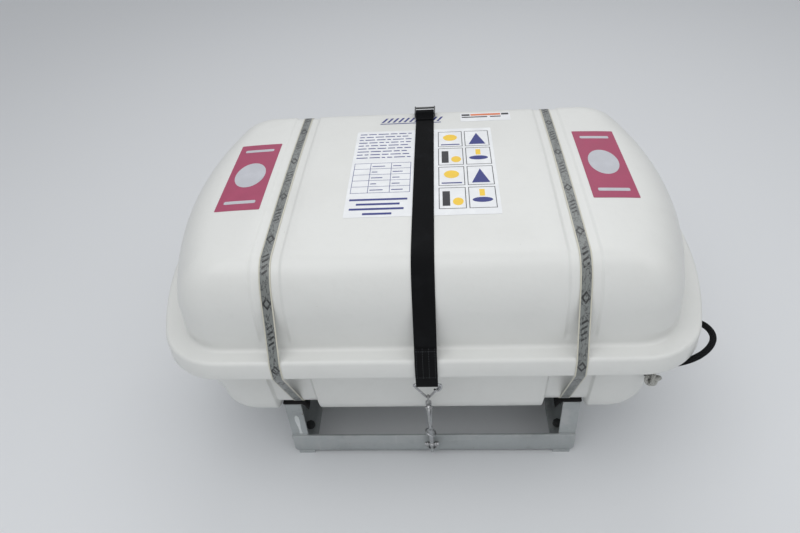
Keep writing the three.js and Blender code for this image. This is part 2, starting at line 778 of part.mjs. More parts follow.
// Shackle: a bow through the lug, and an eye round the pin at each end
function shackle(top) {
  const legs = [
    new THREE.Vector3(shackleHalf, 0, top - 1),
    new THREE.Vector3(shackleHalf, 0, shackleBow + shackleHalf + 4),
    ...arcPoints(0, shackleBow + shackleHalf, shackleHalf, 0, -180, 8).map(([x, z]) => new THREE.Vector3(x, 0, z)),
    new THREE.Vector3(-shackleHalf, 0, shackleBow + shackleHalf + 4),
    new THREE.Vector3(-shackleHalf, 0, top - 1),
  ];
  const bow = openTube(legs, shackleWire, 18, 8);
  const eyes = [-1, 1].map((s) => rod("x", s * shackleHalf - 2.3, s * shackleHalf + 2.3, [0, top], 5.6, 14));
  return cut(join(bow, ...eyes), rod("x", -20, 20, [0, top], 3.1, 14));
}

function shackleBolt(top) {
  const body = rod("x", -14, 11, [0, top], shackleBoltRadius, 14);
  const head = rod("x", shackleHalf + 2.6, shackleHalf + 6.6, [0, top], 5.2, 16);
  const tip = rod("x", -shackleHalf - 6.2, -shackleHalf - 2.6, [0, top], 4.2, 6);
  return join(body, head, tip);
}

// A long round link in the plane of the strap and of x or y
function chainLink(foot, plane, halfWidth = linkHalf, reach = linkReach) {
  const outline = [
    ...arcPoints(0, foot + halfWidth, halfWidth, 180, 360, 6),
    ...arcPoints(0, foot + reach - halfWidth, halfWidth, 0, 180, 6),
  ];
  return closedTube(
    outline.map(([a, z]) => (plane === "x" ? new THREE.Vector3(a, 0, z) : new THREE.Vector3(0, a, z))),
    linkWire,
  );
}

// A closed path with a round of its own at each corner
function roundedPath(corners, steps = 5) {
  return corners.flatMap(([x, z, r], i) => {
    const [bx, bz] = corners[(i + corners.length - 1) % corners.length];
    const [ax, az] = corners[(i + 1) % corners.length];
    const back = new THREE.Vector2(bx - x, bz - z).normalize();
    const onward = new THREE.Vector2(ax - x, az - z).normalize();
    const halfAngle = Math.acos(back.dot(onward)) / 2;
    const middle = back.clone().add(onward).normalize();
    const centre = middle.clone().multiplyScalar(r / Math.sin(halfAngle));
    const from = back.multiplyScalar(r / Math.tan(halfAngle)).sub(centre);
    const sweep = (Math.PI - 2 * halfAngle) * Math.sign(from.clone().cross(middle.clone().negate()));
    return Array.from({ length: steps + 1 }, (_, j) => {
      const arm = from.clone().rotateAround(new THREE.Vector2(), (sweep * j) / steps);
      return new THREE.Vector3(x + centre.x + arm.x, 0, z + centre.y + arm.y);
    });
  });
}

// Triangular wire ring: straight where the webbing goes round it
const deltaCorner = 4;
const deltaApexRound = 4.5;
const deltaSlope = Math.atan2(deltaHeight, webWidth / 2 + deltaCorner);
const deltaHalf = webWidth / 2 + 0.2 + deltaCorner / Math.tan(deltaSlope / 2);

function deltaRing(apex) {
  const base = apex + deltaHeight;
  // The sharp corner lies below the round apex by an amount that depends on the sides' slope
  let corner = apex;
  for (let i = 0; i < 8; i++) {
    corner = apex + deltaApexRound - deltaApexRound / Math.sin(Math.atan2(deltaHalf, base - corner));
  }
  return closedTube(
    roundedPath([
      [0, corner, deltaApexRound],
      [deltaHalf, base, deltaCorner],
      [-deltaHalf, base, deltaCorner],
    ]),
    wireRadius,
  );
}

// The wire's end, curled back at one corner of the front ring
function deltaCurl(apex) {
  const base = apex + deltaHeight;
  const spot = (x, z) => new THREE.Vector3(deltaHalf + x, 0, base + z);
  return openTube([spot(-10.6, -13), spot(-5.2, -18.5), spot(1.4, -17), spot(3.2, -10)], wireRadius * 0.95, 9, 8);
}

function delta(apex) {
  return join(deltaRing(apex), deltaCurl(apex));
}

// Slip hook. The tongue's bend is round its own pin, so the link stays put while the tongue turns.
const pinRadius = 2.5;
const pinPlay = 0.08;
const tongueHalf = 2.2;
const earInner = tongueHalf + 0.3;
const earOuter = 4.8;
const bendInner = bossRadius + touchGap + 2 * linkWire + 1.4;
const bendOuter = bendInner + 4.6;
const shankHalf = 4;
const shankBack = 3;
const forkFloor = hookPin - bendOuter - 1.2;

function hookBody() {
  const eye = rod("x", -3.5, 3.5, [0, shacklePin], 7.4, 20);
  const shank = box(-shankHalf, shankHalf, -shankBack, shankBack, shacklePin + 5, forkFloor);
  const ears = [-1, 1].flatMap((s) => {
    const [a, b] = [s * earInner, s * earOuter].sort((p, q) => p - q);
    return [rod("x", a, b, [0, hookPin], bossRadius, 20), box(a, b, -bossRadius, bossRadius, forkFloor - 3, hookPin)];
  });
  const crown = box(-earOuter, earOuter, -shankBack, shankBack, forkFloor - 7, forkFloor);
  const eyeHole = rod("x", -10, 10, [0, shacklePin], 3.1, 20);
  return cut(join(eye, shank, crown, ...ears), eyeHole, rod("x", -10, 10, [0, hookPin], pinRadius + pinPlay, 24));
}

function hookTongue() {
  const rootAngle = 12;
  const spot = (r, degrees) => {
    const a = (degrees * Math.PI) / 180;
    return [r * Math.cos(a), hookPin + r * Math.sin(a)];
  };
  const arc = (r, from, to, steps) =>
    Array.from({ length: steps + 1 }, (_, i) => spot(r, from + ((to - from) * i) / steps));
  // Angles run anticlockwise from +Y: the root is at the back, the bend goes over the top to the front
  const tip = hookPin - 106;
  const outline = [
    ...arc(bendOuter, -rootAngle, 180, 14),
    [-bendOuter + 0.6, hookPin - 14],
    [-9.6, hookPin - 42],
    [-7.8, hookPin - 70],
    [-7.3, tip + 1.5],
    [-6.2, tip],
    [-4.0, tip],
    [-shankBack - touchGap - 0.1, tip + 1],
    [-shankBack - touchGap - 0.1, hookPin - 70],
    [-5.2, hookPin - 42],
    [-bendInner - 0.2, hookPin - 14],
    ...arc(bendInner, 180, 16, 10),
    spot(bossRadius - 0.6, 30),
    spot(bossRadius - 0.6, -42),
  ];
  const blade = slabX(outline, -tongueHalf, tongueHalf);
  const boss = rod("x", -tongueHalf, tongueHalf, [0, hookPin], bossRadius, 20);
  return cut(join(blade, boss), rod("x", -10, 10, [0, hookPin], pinRadius + pinPlay, 24));
}

const ringStation = 97;
const ringRadius = 10.8;
const ringWire = 1.6;
const ringTilt = { side: (24 * Math.PI) / 180, back: (25 * Math.PI) / 180 };

add("front_shackle", shackle(shacklePin), "stainless", frontGroup);
add("front_shackle_pin", shackleBolt(shacklePin), "stainless", frontGroup);
add("hook_body", hookBody(), "stainless", frontGroup);
add("hook_tongue", hookTongue(), "stainless", frontGroup);
const hookPinSolid = join(
  rod("x", -earOuter - 0.4, earOuter + 0.4, [0, hookPin], pinRadius, 24),
  rod("x", earOuter + 0.3, earOuter + 1.6, [0, hookPin], 3.8, 16),
  rod("x", -earOuter - 1.6, -earOuter - 0.3, [0, hookPin], 3.8, 16),
);
add("hook_pin", hookPinSolid, "stainless", frontGroup);
const retainingRing = new THREE.TorusGeometry(ringRadius, ringWire, 8, 22)
  .rotateY(ringTilt.side)
  .rotateX(-ringTilt.back)
  .translate(0, -3.3, ringStation);
add("hook_ring", retainingRing, "stainless", frontGroup);
add("lower_link", chainLink(lowerLinkFoot, "x"), "stainless", frontGroup);
add("upper_link", chainLink(upperLinkFoot, "y"), "stainless", frontGroup);
add("front_delta_ring", delta(deltaApex), "stainless", frontGroup);

add("rear_shackle", shackle(shacklePin), "stainless", rearGroup);
add("rear_shackle_pin", shackleBolt(shacklePin), "stainless", rearGroup);
const rearLinkHalf = shackleBoltRadius + touchGap + linkWire + 0.05;
const rearLinkFoot = shacklePin - rearLinkHalf;
const rearLinkReach = 30;
const rearDeltaApex = rearLinkFoot + rearLinkReach - linkWire - wireRadius - touchGap;
add("rear_link", chainLink(rearLinkFoot, "y", rearLinkHalf, rearLinkReach), "stainless", rearGroup);
add("rear_delta_ring", deltaRing(rearDeltaApex), "stainless", rearGroup);

// The webbing's path over the dome, from the front skirt corner to the back one
const webHull = hull(bothSides(section(outerRings, 0)));
const frontCorner = webHull.reduce((a, b) => (Math.hypot(b[0] + flangeDepth / 2, b[1] - strapTopZ)
  < Math.hypot(a[0] + flangeDepth / 2, a[1] - strapTopZ) ? b : a));
const overTop = webHull
  .filter(([, z]) => z > frontCorner[1] - 0.01)
  .sort((a, b) => a[0] - b[0] || (a[0] < 0 ? a[1] - b[1] : b[1] - a[1]))
  .reverse();

// The slide buckle lifts the webbing near the back edge of the dome
const buckleY = 246;
const buckleLift = 9;
const buckleReach = 24;
const buckleFlat = 6;

function surfaceAt(y) {
  for (let i = 0; i < overTop.length - 1; i++) {
    const [a, b] = [overTop[i], overTop[i + 1]];
    if (b[0] <= y && y <= a[0] && a[0] !== b[0]) {
      const t = (y - b[0]) / (a[0] - b[0]);
      const slope = Math.atan2(a[1] - b[1], a[0] - b[0]);
      return { z: b[1] + (a[1] - b[1]) * t, slope };
    }
  }
  return null;
}

const buckleSeat = surfaceAt(buckleY);
const buckleSlope = surfaceAt(buckleY).slope;
// A point at a distance along and above the buckle's seat
const seatPoint = (along, up) => [
  buckleY + Math.cos(buckleSlope) * along - Math.sin(buckleSlope) * up,
  buckleSeat.z + Math.sin(buckleSlope) * along + Math.cos(buckleSlope) * up,
];

const path = [];
for (const p of overTop) {
  if (Math.abs(p[0] - buckleY) < buckleReach) continue;
  path.push({ at: p, thick: p[1] <= shelfZ + 0.01 ? doubled : webThickness });
}
const humpAt = path.findIndex((p) => p.at[0] < buckleY);
const hump = [
  [buckleY + buckleReach, surfaceAt(buckleY + buckleReach).z],
  seatPoint(buckleFlat, buckleLift),
  seatPoint(-buckleFlat, buckleLift),
  [buckleY - buckleReach, surfaceAt(buckleY - buckleReach).z],
];
path.splice(humpAt, 0, ...hump.map((at) => ({ at, thick: webThickness })));
const innerPath = offsetPath(path.map((p) => p.at), touchGap, false);
const outerPath = offsetPath(path.map((p) => p.at), (i) => touchGap + path[i].thick, false);
const rearLoopStation = rearDeltaApex + deltaHeight;
const loopCentre = { front: onStrap(frontBar), rear: onStrap(rearLoopStation) };
loopCentre.rear[0] *= -1;
const lean = [Math.cos(strapLean), -Math.sin(strapLean)];
const half = doubled / 2;
const webOutline = [
  [loopCentre.rear[0] + lean[0] * half, loopCentre.rear[1] - lean[1] * -half],
  ...outerPath,
  [loopCentre.front[0] - lean[0] * half, loopCentre.front[1] + lean[1] * half],
  [loopCentre.front[0] + lean[0] * half, loopCentre.front[1] - lean[1] * half],
  ...innerPath.reverse(),
  [loopCentre.rear[0] - lean[0] * half, loopCentre.rear[1] + lean[1] * -half],
];
const halfWeb = webWidth / 2;
const webbing = cut(
  join(
    slabX(webOutline, -halfWeb, halfWeb),
    rod("x", -halfWeb, halfWeb, loopCentre.front, webLoopRadius, 20),
    rod("x", -halfWeb, halfWeb, loopCentre.rear, webLoopRadius, 20),
  ),
  rod("x", -40, 40, loopCentre.front, wireRadius + touchGap, 20),
  rod("x", -40, 40, loopCentre.rear, wireRadius + touchGap, 20),
);
add("lashing_webbing", webbing, "webbing");

// Slide buckle: a bar under the raised webbing, one above it on each side, and two cheeks
const cheekInner = halfWeb + 0.6;
const cheekOuter = cheekInner + 2.6;
const barUnder = seatPoint(0, buckleLift - 3.6);
const barsOver = [-15, 15].map((along) => seatPoint(along, buckleLift + 3.2));
const cheek = [
  seatPoint(-19, 4.6),
  seatPoint(19, 4.6),
  seatPoint(19, 14.6),
  seatPoint(-19, 14.6),
];
const buckle = join(
  slabX(cheek, -cheekOuter, -cheekInner),
  slabX(cheek, cheekInner, cheekOuter),
  rod("x", -cheekOuter + 0.5, cheekOuter - 0.5, barUnder, 3.2, 16),
  ...barsOver.map((at) => rod("x", -cheekOuter + 0.5, cheekOuter - 0.5, at, 2.2, 12)),
);
add("web_slide_buckle", buckle, "stainless");

// Rope handles at two opposite corners, and the painter with its stopper knot

function handleRope() {
  const [a, b] = handleEnds;
  const z = shelfZ - skirtHeight - handleRopeRadius - 3.5;
  // A point by its distances in from the flange's end and front
  const spot = (dx, dy, height = z) => new THREE.Vector3(flangeLength / 2 - dx, dy - flangeDepth / 2, height);
  const through = (end) => [-10, 0, 10, 18].map((d) => end.point.clone().addScaledVector(end.normal, d));
  return [
    ...through(a),
    spot(22, 147, z - 2),
    spot(17, 110),
    spot(37, 73),
    spot(76, 40, z - 2),
    ...through(b).reverse(),
  ];
}

add("rope_handle_right", openTube(handleRope(), handleRopeRadius, 26, 8), "blackRope");
add("rope_handle_left", openTube(handleRope(), handleRopeRadius, 26, 8).rotateZ(Math.PI), "blackRope");

// Grommet: a rubber spool in the painter's hole
const spool = [
  [painterRopeRadius + 0.4, -8.5],
  [13, -8.5],
  [13, -5.8],
  [painterHoleRadius - 0.4, -5.8],
  [painterHoleRadius - 0.4, 0.5],
  [13, 0.5],
  [13, 3.4],
  [painterRopeRadius + 0.4, 3.4],
  [painterRopeRadius + 0.4, -8.5],
];
const grommet = new THREE.LatheGeometry(spool.map(([r, h]) => new THREE.Vector2(r, h)), 20);
const outletTurn = new THREE.Quaternion().setFromUnitVectors(new THREE.Vector3(0, 1, 0), outlet.normal);
add("painter_grommet", grommet.applyQuaternion(outletTurn).translate(...outlet.point), "blackRubber");

const knotRadius = 12;
const knotOffset = 3.4 + touchGap + knotRadius;
const alongOutlet = (d) => outlet.point.clone().addScaledVector(outlet.normal, d);
const packFloor = canisterBottom + lowerRecess.floorDepth + shellWall + touchGap;
const cylinderRadius = 57;
const cylinderHalf = lowerLength / 2 - 228;
const cylinderY = 122 - lowerDepth / 2;
const cylinderZ = packFloor + cylinderRadius;
const cylinderTop = cylinderZ + cylinderRadius;
const coilRadius = 62;
const coilTube = 20;
const coilSize = coilRadius + coilTube;
const coilCentre = new THREE.Vector3(cylinderHalf * 0.48, cylinderY, cylinderTop + touchGap + coilSize);
const coilSide = (d) => coilCentre.clone().add(new THREE.Vector3(coilSize + d, 0, 0));
const painterPath = [
  coilSide(touchGap),
  coilSide(20),
  coilSide(90).add(new THREE.Vector3(0, -25, -20)),
  alongOutlet(-60).add(new THREE.Vector3(0, 0, 14)),
  alongOutlet(-28),
  alongOutlet(-12),
  alongOutlet(3.4),
];
add("painter_line", openTube(painterPath, painterRopeRadius, 14, 8), "whiteRope");
add("painter_knot", new THREE.SphereGeometry(knotRadius, 12, 8).translate(...alongOutlet(knotOffset)), "whiteRope");

// What is packed inside: raft, gas cylinder with its head, emergency pack and the painter's coil

function roundedBlock(halfX, halfY, z0, z1, round, centreY) {
  const rings = [];
  const steps = 2;
  const plan = (inset, z, inward = 0) => {
    const corner = Math.max(round * 1.2 - inset, 12);
    const [cx, cy] = [halfX - inset - corner, halfY - inset - corner];
    const arcs = [[cx, -cy, -90], [cx, cy, 0], [-cx, cy, 90], [-cx, -cy, 180]];
    return arcs
      .flatMap(([x, y, from]) => arcPoints(x, y, corner, from, from + 90, 3))
      .map(([x, y]) => new THREE.Vector3(x, y * (1 - inward), z));
  };
  rings.push(plan(round, z0, 1));
  for (let i = 0; i <= steps; i++) {
    const a = (Math.PI / 2) * (i / steps);
    rings.push(plan(round * (1 - Math.sin(a)), z0 + round * (1 - Math.cos(a))));
  }
  for (let i = 0; i <= steps; i++) {
    const a = (Math.PI / 2) * (1 - i / steps);
    rings.push(plan(round * (1 - Math.sin(a)), z1 - round * (1 - Math.cos(a))));
  }
  rings.push(plan(round, z1, 1));
  return loft(rings).translate(0, centreY, 0);
}

const raftFront = cylinderY + cylinderRadius + touchGap;
const raftBack = lowerDepth / 2 - 75;
const raftHalfDepth = (raftBack - raftFront) / 2;
const raftHalf = lowerLength / 2 - 98;
const raftY = (raftBack + raftFront) / 2;
add("packed_raft", roundedBlock(raftHalf, raftHalfDepth, packFloor, domeTop - 24, 60, raftY), "raftFabric");

const bottle = [
  [0, -cylinderHalf],
  [cylinderRadius * 0.6, -cylinderHalf + 8],
  [cylinderRadius, -cylinderHalf + 40],
  [cylinderRadius, cylinderHalf - 60],
  [cylinderRadius * 0.55, cylinderHalf - 18],
  [16, cylinderHalf],
  [0, cylinderHalf],
];
const bottleShape = new THREE.LatheGeometry(bottle.map(([r, h]) => new THREE.Vector2(r, h)), 24);
add("gas_cylinder", bottleShape.rotateZ(-Math.PI / 2).translate(0, cylinderY, cylinderZ), "cylinderPaint");
const headX = cylinderHalf + touchGap;
const operatingHead = join(
  rod("x", headX, headX + 46, [cylinderY, cylinderZ], 15),
  rod("z", cylinderZ, cylinderZ + 38, [headX + 26, cylinderY], 11),
);
add("operating_head", operatingHead, "crimp");
const packBase = cylinderTop + touchGap;
const packHalf = cylinderHalf * 0.55;
const emergencyPack = roundedBlock(packHalf, cylinderRadius, packBase, packBase + 130, 24, cylinderY);
add("emergency_pack", emergencyPack.translate(-cylinderHalf * 0.6, 0, 0), "packFabric");
const coil = new THREE.TorusGeometry(coilRadius, coilTube, 8, 18).rotateX(Math.PI / 2);
add("painter_coil", coil.translate(...coilCentre), "whiteRope");

export default root;
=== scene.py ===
"""Looks of a banded liferaft canister, lashed to its deck cradle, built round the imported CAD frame.

Sizes are in millimetres and angles in degrees, unless a line says otherwise. X runs along the canister,
-Y is the side with the slip hook, and Z is up from the deck.
"""

import logging
import math
import random
from dataclasses import dataclass, field, replace
from enum import Enum
from functools import lru_cache
from typing import Callable, Dict, List, Optional, Sequence, Tuple

import bmesh
import bpy
from mathutils import Matrix, Vector


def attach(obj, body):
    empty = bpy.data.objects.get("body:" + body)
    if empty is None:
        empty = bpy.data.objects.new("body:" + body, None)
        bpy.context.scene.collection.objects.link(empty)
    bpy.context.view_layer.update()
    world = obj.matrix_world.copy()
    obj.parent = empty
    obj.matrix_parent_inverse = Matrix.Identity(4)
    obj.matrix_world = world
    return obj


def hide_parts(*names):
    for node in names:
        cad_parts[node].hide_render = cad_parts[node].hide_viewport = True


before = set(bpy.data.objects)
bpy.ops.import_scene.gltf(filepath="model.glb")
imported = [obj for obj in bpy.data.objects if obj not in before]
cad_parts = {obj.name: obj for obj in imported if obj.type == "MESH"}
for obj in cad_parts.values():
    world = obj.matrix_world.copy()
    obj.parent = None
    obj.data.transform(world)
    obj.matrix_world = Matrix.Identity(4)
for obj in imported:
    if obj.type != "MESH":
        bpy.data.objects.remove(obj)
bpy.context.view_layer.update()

logging.basicConfig(level=logging.INFO, format="%(message)s")
log = logging.getLogger("canister")

MM = 0.001
Point2 = Tuple[float, float]
Point3 = Tuple[float, float, float]
Colour = Tuple[float, float, float]
Object = bpy.types.Object
Material = bpy.types.Material
Socket = bpy.types.NodeSocket


class Body(Enum):
    """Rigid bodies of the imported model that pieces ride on."""

    CANISTER = "canister"
    TONGUE = "tongue"
    RING = "ring"


class Side(Enum):
    """The two long-side halves of the canister."""

    LEFT = -1
    RIGHT = 1


class Lie(Enum):
    """How a link lies on the strap's line."""

    FLAT = "across the strap"
    EDGE = "square to the strap"


class Space(Enum):
    """Coordinates that a finish's pattern follows."""

    OBJECT = "Object"
    UV = "UV"


# Small helpers for Blender's state


def deselect() -> None:
    """Leave edit mode and clear the selection."""
    if bpy.context.object and bpy.context.object.mode != "OBJECT":
        bpy.ops.object.mode_set(mode="OBJECT")
    bpy.ops.object.select_all(action="DESELECT")


def pick(obj: Object) -> None:
    """Make one object the only selected and the active one.

    Args:
        obj: the object to pick.
    """
    deselect()
    obj.select_set(True)
    bpy.context.view_layer.objects.active = obj


def edit(obj: Object, select: str = "SELECT") -> None:
    """Open an object in edit mode.

    Args:
        obj: the object to open.
        select: SELECT or DESELECT, for all of its mesh.
    """
    pick(obj)
    bpy.ops.object.mode_set(mode="EDIT")
    bpy.ops.mesh.select_all(action=select)


def add_object(name: str, data: bpy.types.ID) -> Object:
    """Put new data into the scene.

    Args:
        name: the new object's name.
        data: its mesh, curve, camera or lamp.
    Returns:
        The new object.
    """
    obj = bpy.data.objects.new(name, data)
    bpy.context.scene.collection.objects.link(obj)
    return obj


def done(obj: Object, name: str) -> Object:
    """Name a finished object and move its place into its mesh.

    Args:
        obj: the object to finish.
        name: its piece name.
    Returns:
        The same object, at the origin, unturned and unscaled.
    """
    pick(obj)
    bpy.ops.object.transform_apply(location=True, rotation=True, scale=True)
    obj.name = name
    obj.data.name = name
    return obj


def apply_modifiers(obj: Object) -> None:
    """Apply every modifier of an object in its order.

    Args:
        obj: the object that has them.
    """
    pick(obj)
    for modifier in list(obj.modifiers):
        bpy.ops.object.modifier_apply(modifier=modifier.name)


def smooth(obj: Object, degrees: float) -> None:
    """Shade an object smooth, with sharp edges above an angle."""
    pick(obj)
    bpy.ops.object.shade_smooth_by_angle(angle=math.radians(degrees))


def tidy_mesh(obj: Object, distance: float = 1e-6) -> None:
    """Merge doubles and point all faces outwards.

    Args:
        obj: the mesh object.
        distance: how near doubles are, in metres.
    """
    edit(obj)
    bpy.ops.mesh.remove_doubles(threshold=distance)
    bpy.ops.mesh.normals_make_consistent(inside=False)
    bpy.ops.object.mode_set(mode="OBJECT")


def cap_ends(obj: Object) -> None:
    """Close both open ends of a sweep.

    Args:
        obj: the swept mesh.
    """
    edit(obj, "DESELECT")
    bpy.ops.mesh.select_non_manifold()
    bpy.ops.mesh.edge_face_add()
    bpy.ops.mesh.select_all(action="SELECT")
    bpy.ops.mesh.normals_make_consistent(inside=False)
    bpy.ops.object.mode_set(mode="OBJECT")


def dress(obj: Object, material: Material) -> None:
    """Give an object its one material."""
    obj.data.materials.clear()
    obj.data.materials.append(material)


def settle(
    obj: Object, material: Optional[Material], nodes: Sequence[str] = (), body: Body = Body.CANISTER
) -> Object:
    """Dress a finished piece, let it ride on its body and stand for its CAD nodes.

    Args:
        obj: the finished piece.
        material: its finish, or None where it is dressed already.
        nodes: the CAD nodes that it replaces.
        body: the rigid body it rides on.
    Returns:
        The same object.
    """
    if material:
        dress(obj, material)
    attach(obj, body.value)
    if nodes:
        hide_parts(*nodes)
    log.info("piece %s: %d vertices", obj.name, len(obj.data.vertices))
    return obj


def shaped_grid(
    name: str, columns: int, rows: int, place: Callable[[float, float], Vector], smoothing: float
) -> Object:
    """Shape a grid primitive by a function of its two directions, and close its seams.

    Args:
        name: the piece name.
        columns: faces in the first direction.
        rows: faces in the second direction.
        place: gives the point for each pair from 0 to 1.
        smoothing: angle above which edges stay sharp.
    Returns:
        The finished object, with the grid's own UV map.
    """
    deselect()
    bpy.ops.mesh.primitive_grid_add(x_subdivisions=columns, y_subdivisions=rows, size=1.0, calc_uvs=True)
    obj = bpy.context.active_object
    for vertex in obj.data.vertices:
        u = round((vertex.co.x + 0.5) * columns) / columns
        v = round((vertex.co.y + 0.5) * rows) / rows
        vertex.co = place(u, v) * MM
    tidy_mesh(obj, 2e-6)
    smooth(obj, smoothing)
    return done(obj, name)


def wire(name: str, points: Sequence[Vector], radius: float, closed: bool) -> Object:
    """Bend a round wire along points.

    Args:
        name: the piece name.
        points: the wire's centre line.
        radius: the wire's radius.
        closed: whether the ends are welded together.
    Returns:
        The wire as a mesh with 16 sides.
    """
    curve = bpy.data.curves.new(name, "CURVE")
    curve.dimensions = "3D"
    curve.bevel_depth = radius * MM
    curve.bevel_resolution = 3
    curve.use_fill_caps = not closed
    spline = curve.splines.new("POLY")
    spline.points.add(len(points) - 1)
    for spot, point in zip(spline.points, points):
        spot.co = (*(point * MM), 1.0)
    spline.use_cyclic_u = closed
    pick(add_object(name, curve))
    bpy.ops.object.convert(target="MESH")
    obj = bpy.context.active_object
    tidy_mesh(obj)
    smooth(obj, 60.0)
    return done(obj, name)


def refined_copy(node: str, name: str, bevel: float) -> Object:
    """Copy a CAD node, merge its loose triangles and soften its edges.

    Args:
        node: the CAD node to copy.
        name: the new piece's name.
        bevel: width of the softened edge.
    Returns:
        The softened copy.
    """
    obj = add_object(name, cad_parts[node].data.copy())
    edit(obj)
    bpy.ops.mesh.remove_doubles(threshold=1e-6)
    bpy.ops.mesh.dissolve_limited(angle_limit=math.radians(0.6))
    bpy.ops.object.mode_set(mode="OBJECT")
    modifier = obj.modifiers.new("edge", "BEVEL")
    modifier.width = bevel * MM
    modifier.segments = 2
    modifier.limit_method = "ANGLE"
    modifier.angle_limit = math.radians(32.0)
    modifier.use_clamp_overlap = True
    apply_modifiers(obj)
    smooth(obj, 38.0)
    return done(obj, name)


def soften(node: str, name: str, bevel: float, material: Material, body: Body = Body.CANISTER) -> Object:
    """Copy a CAD node with soft edges and its finish, to stand for it."""
    return settle(refined_copy(node, name, bevel), material, [node], body)


# Lines and curves


def smoothstep(x: float) -> float:
    """Ease from 0 to 1 as x goes from 0 to 1."""
    x = min(max(x, 0.0), 1.0)
    return x * x * (3.0 - 2.0 * x)


def lerp(a: float, b: float, t: float) -> float:
    """Value a share t of the way from a to b."""
    return a + (b - a) * t


def arc(cx: float, cy: float, radius: float, start: float, stop: float, steps: int) -> List[Point2]:
    """Points of an arc round a centre, from one angle to another."""
    angles = [math.radians(lerp(start, stop, i / steps)) for i in range(steps + 1)]
    return [(cx + radius * math.cos(a), cy + radius * math.sin(a)) for a in angles]


def mirrored(point: Vector) -> Vector:
    """The same place at the opposite corner of the canister."""
    return Vector((-point.x, -point.y, point.z))


def stops(lengths: Sequence[float], count: int) -> List[Tuple[int, float]]:
    """Where evenly spaced points fall on a chain of spans.

    Args:
        lengths: each span's length.
        count: number of equal steps along the whole chain.
    Returns:
        The span and the share of it for each point, both ends included.
    """
    total, out, index, gone = sum(lengths), [], 0, 0.0
    for i in range(count + 1):
        target = total * i / count
        while index < len(lengths) - 1 and gone + lengths[index] < target:
            gone += lengths[index]
            index += 1
        share = (target - gone) / lengths[index] if lengths[index] else 0.0
        out.append((index, min(share, 1.0)))
    return out


def resample(points: Sequence[Point2], step: float, closed: bool = False) -> List[Point2]:
    """Space points evenly along a flat path.

    Args:
        points: the path's corners.
        step: the wanted distance.
        closed: whether the path is a loop.
    Returns:
        The new points.
    """
    path = list(points) + ([points[0]] if closed else [])
    lengths = [math.dist(a, b) for a, b in zip(path, path[1:])]
    found = stops(lengths, max(int(round(sum(lengths) / step)), 2))
    if closed:
        found.pop()
    return [(lerp(path[i][0], path[i + 1][0], t), lerp(path[i][1], path[i + 1][1], t)) for i, t in found]


def curve_through(points: Sequence[Vector], steps: int) -> List[Vector]:
    """Draw a centripetal curve through points.

    Args:
        points: the points it goes through.
        steps: number of equal steps along it.
    Returns:
        Evenly spaced points of the curve.
    """
    padded = [points[0] * 2 - points[1], *points, points[-1] * 2 - points[-2]]
    dense: List[Vector] = []

    def blend(a: Vector, b: Vector, low: float, high: float, t: float) -> Vector:
        """A point between two as t goes from low to high."""
        return a * ((high - t) / (high - low)) + b * ((t - low) / (high - low))

    for p0, p1, p2, p3 in zip(padded, padded[1:], padded[2:], padded[3:]):
        t1 = (p1 - p0).length ** 0.5
        t2 = t1 + (p2 - p1).length ** 0.5
        t3 = t2 + (p3 - p2).length ** 0.5
        for i in range(12):
            t = lerp(t1, t2, i / 12.0)
            first, middle, last = blend(p0, p1, 0.0, t1, t), blend(p1, p2, t1, t2, t), blend(p2, p3, t2, t3, t)
            dense.append(blend(blend(first, middle, 0.0, t2, t), blend(middle, last, t1, t3, t), t1, t2, t))
    dense.append(points[-1])
    lengths = [(b - a).length for a, b in zip(dense, dense[1:])]
    return [dense[i].lerp(dense[i + 1], t) for i, t in stops(lengths, steps)]


def hull(points: Sequence[Point2]) -> List[Point2]:
    """Stretch a line round points.

    Args:
        points: any points of a plane.
    Returns:
        The corners of their convex hull, anticlockwise.
    """
    ordered = sorted(set((round(a, 4), round(b, 4)) for a, b in points))

    def half(items: Sequence[Point2]) -> List[Point2]:
        """One side of the hull, without its last point.

        Args:
            items: the points in order.
        Returns:
            That side's corners.
        """
        out: List[Point2] = []
        for p in items:
            while len(out) > 1:
                (ax, ay), (bx, by) = out[-2], out[-1]
                if (bx - ax) * (p[1] - ay) - (by - ay) * (p[0] - ax) > 1e-3:
                    break
                out.pop()
            out.append(p)
        return out[:-1]

    return half(ordered) + half(ordered[::-1])


def path_normals(points: Sequence[Point2], closed: bool) -> List[Point2]:
    """Find which way is out along a path.

    Args:
        points: the path's points.
        closed: whether the path is a loop.
    Returns:
        The unit normal to the right of the path at each point.
    """
    count, out = len(points), []
    for i in range(count):
        before = points[(i - 1) % count] if closed or i > 0 else points[i]
        after = points[(i + 1) % count] if closed or i < count - 1 else points[i]
        dy, dz = after[0] - before[0], after[1] - before[1]
        size = math.hypot(dy, dz) or 1.0
        out.append((dz / size, -dy / size))
    return out


# Finishes


def srgb(red: int, green: int, blue: int) -> Colour:
    """Turn a display colour from 0 to 255 into the shader's linear values.

    Args:
        red: the red channel.
        green: the green channel.
        blue: the blue channel.
    Returns:
        The linear colour.
    """

    def channel(value: int) -> float:
        """One channel's linear value."""
        c = value / 255.0
        return c / 12.92 if c <= 0.04045 else ((c + 0.055) / 1.055) ** 2.4

    return channel(red), channel(green), channel(blue)


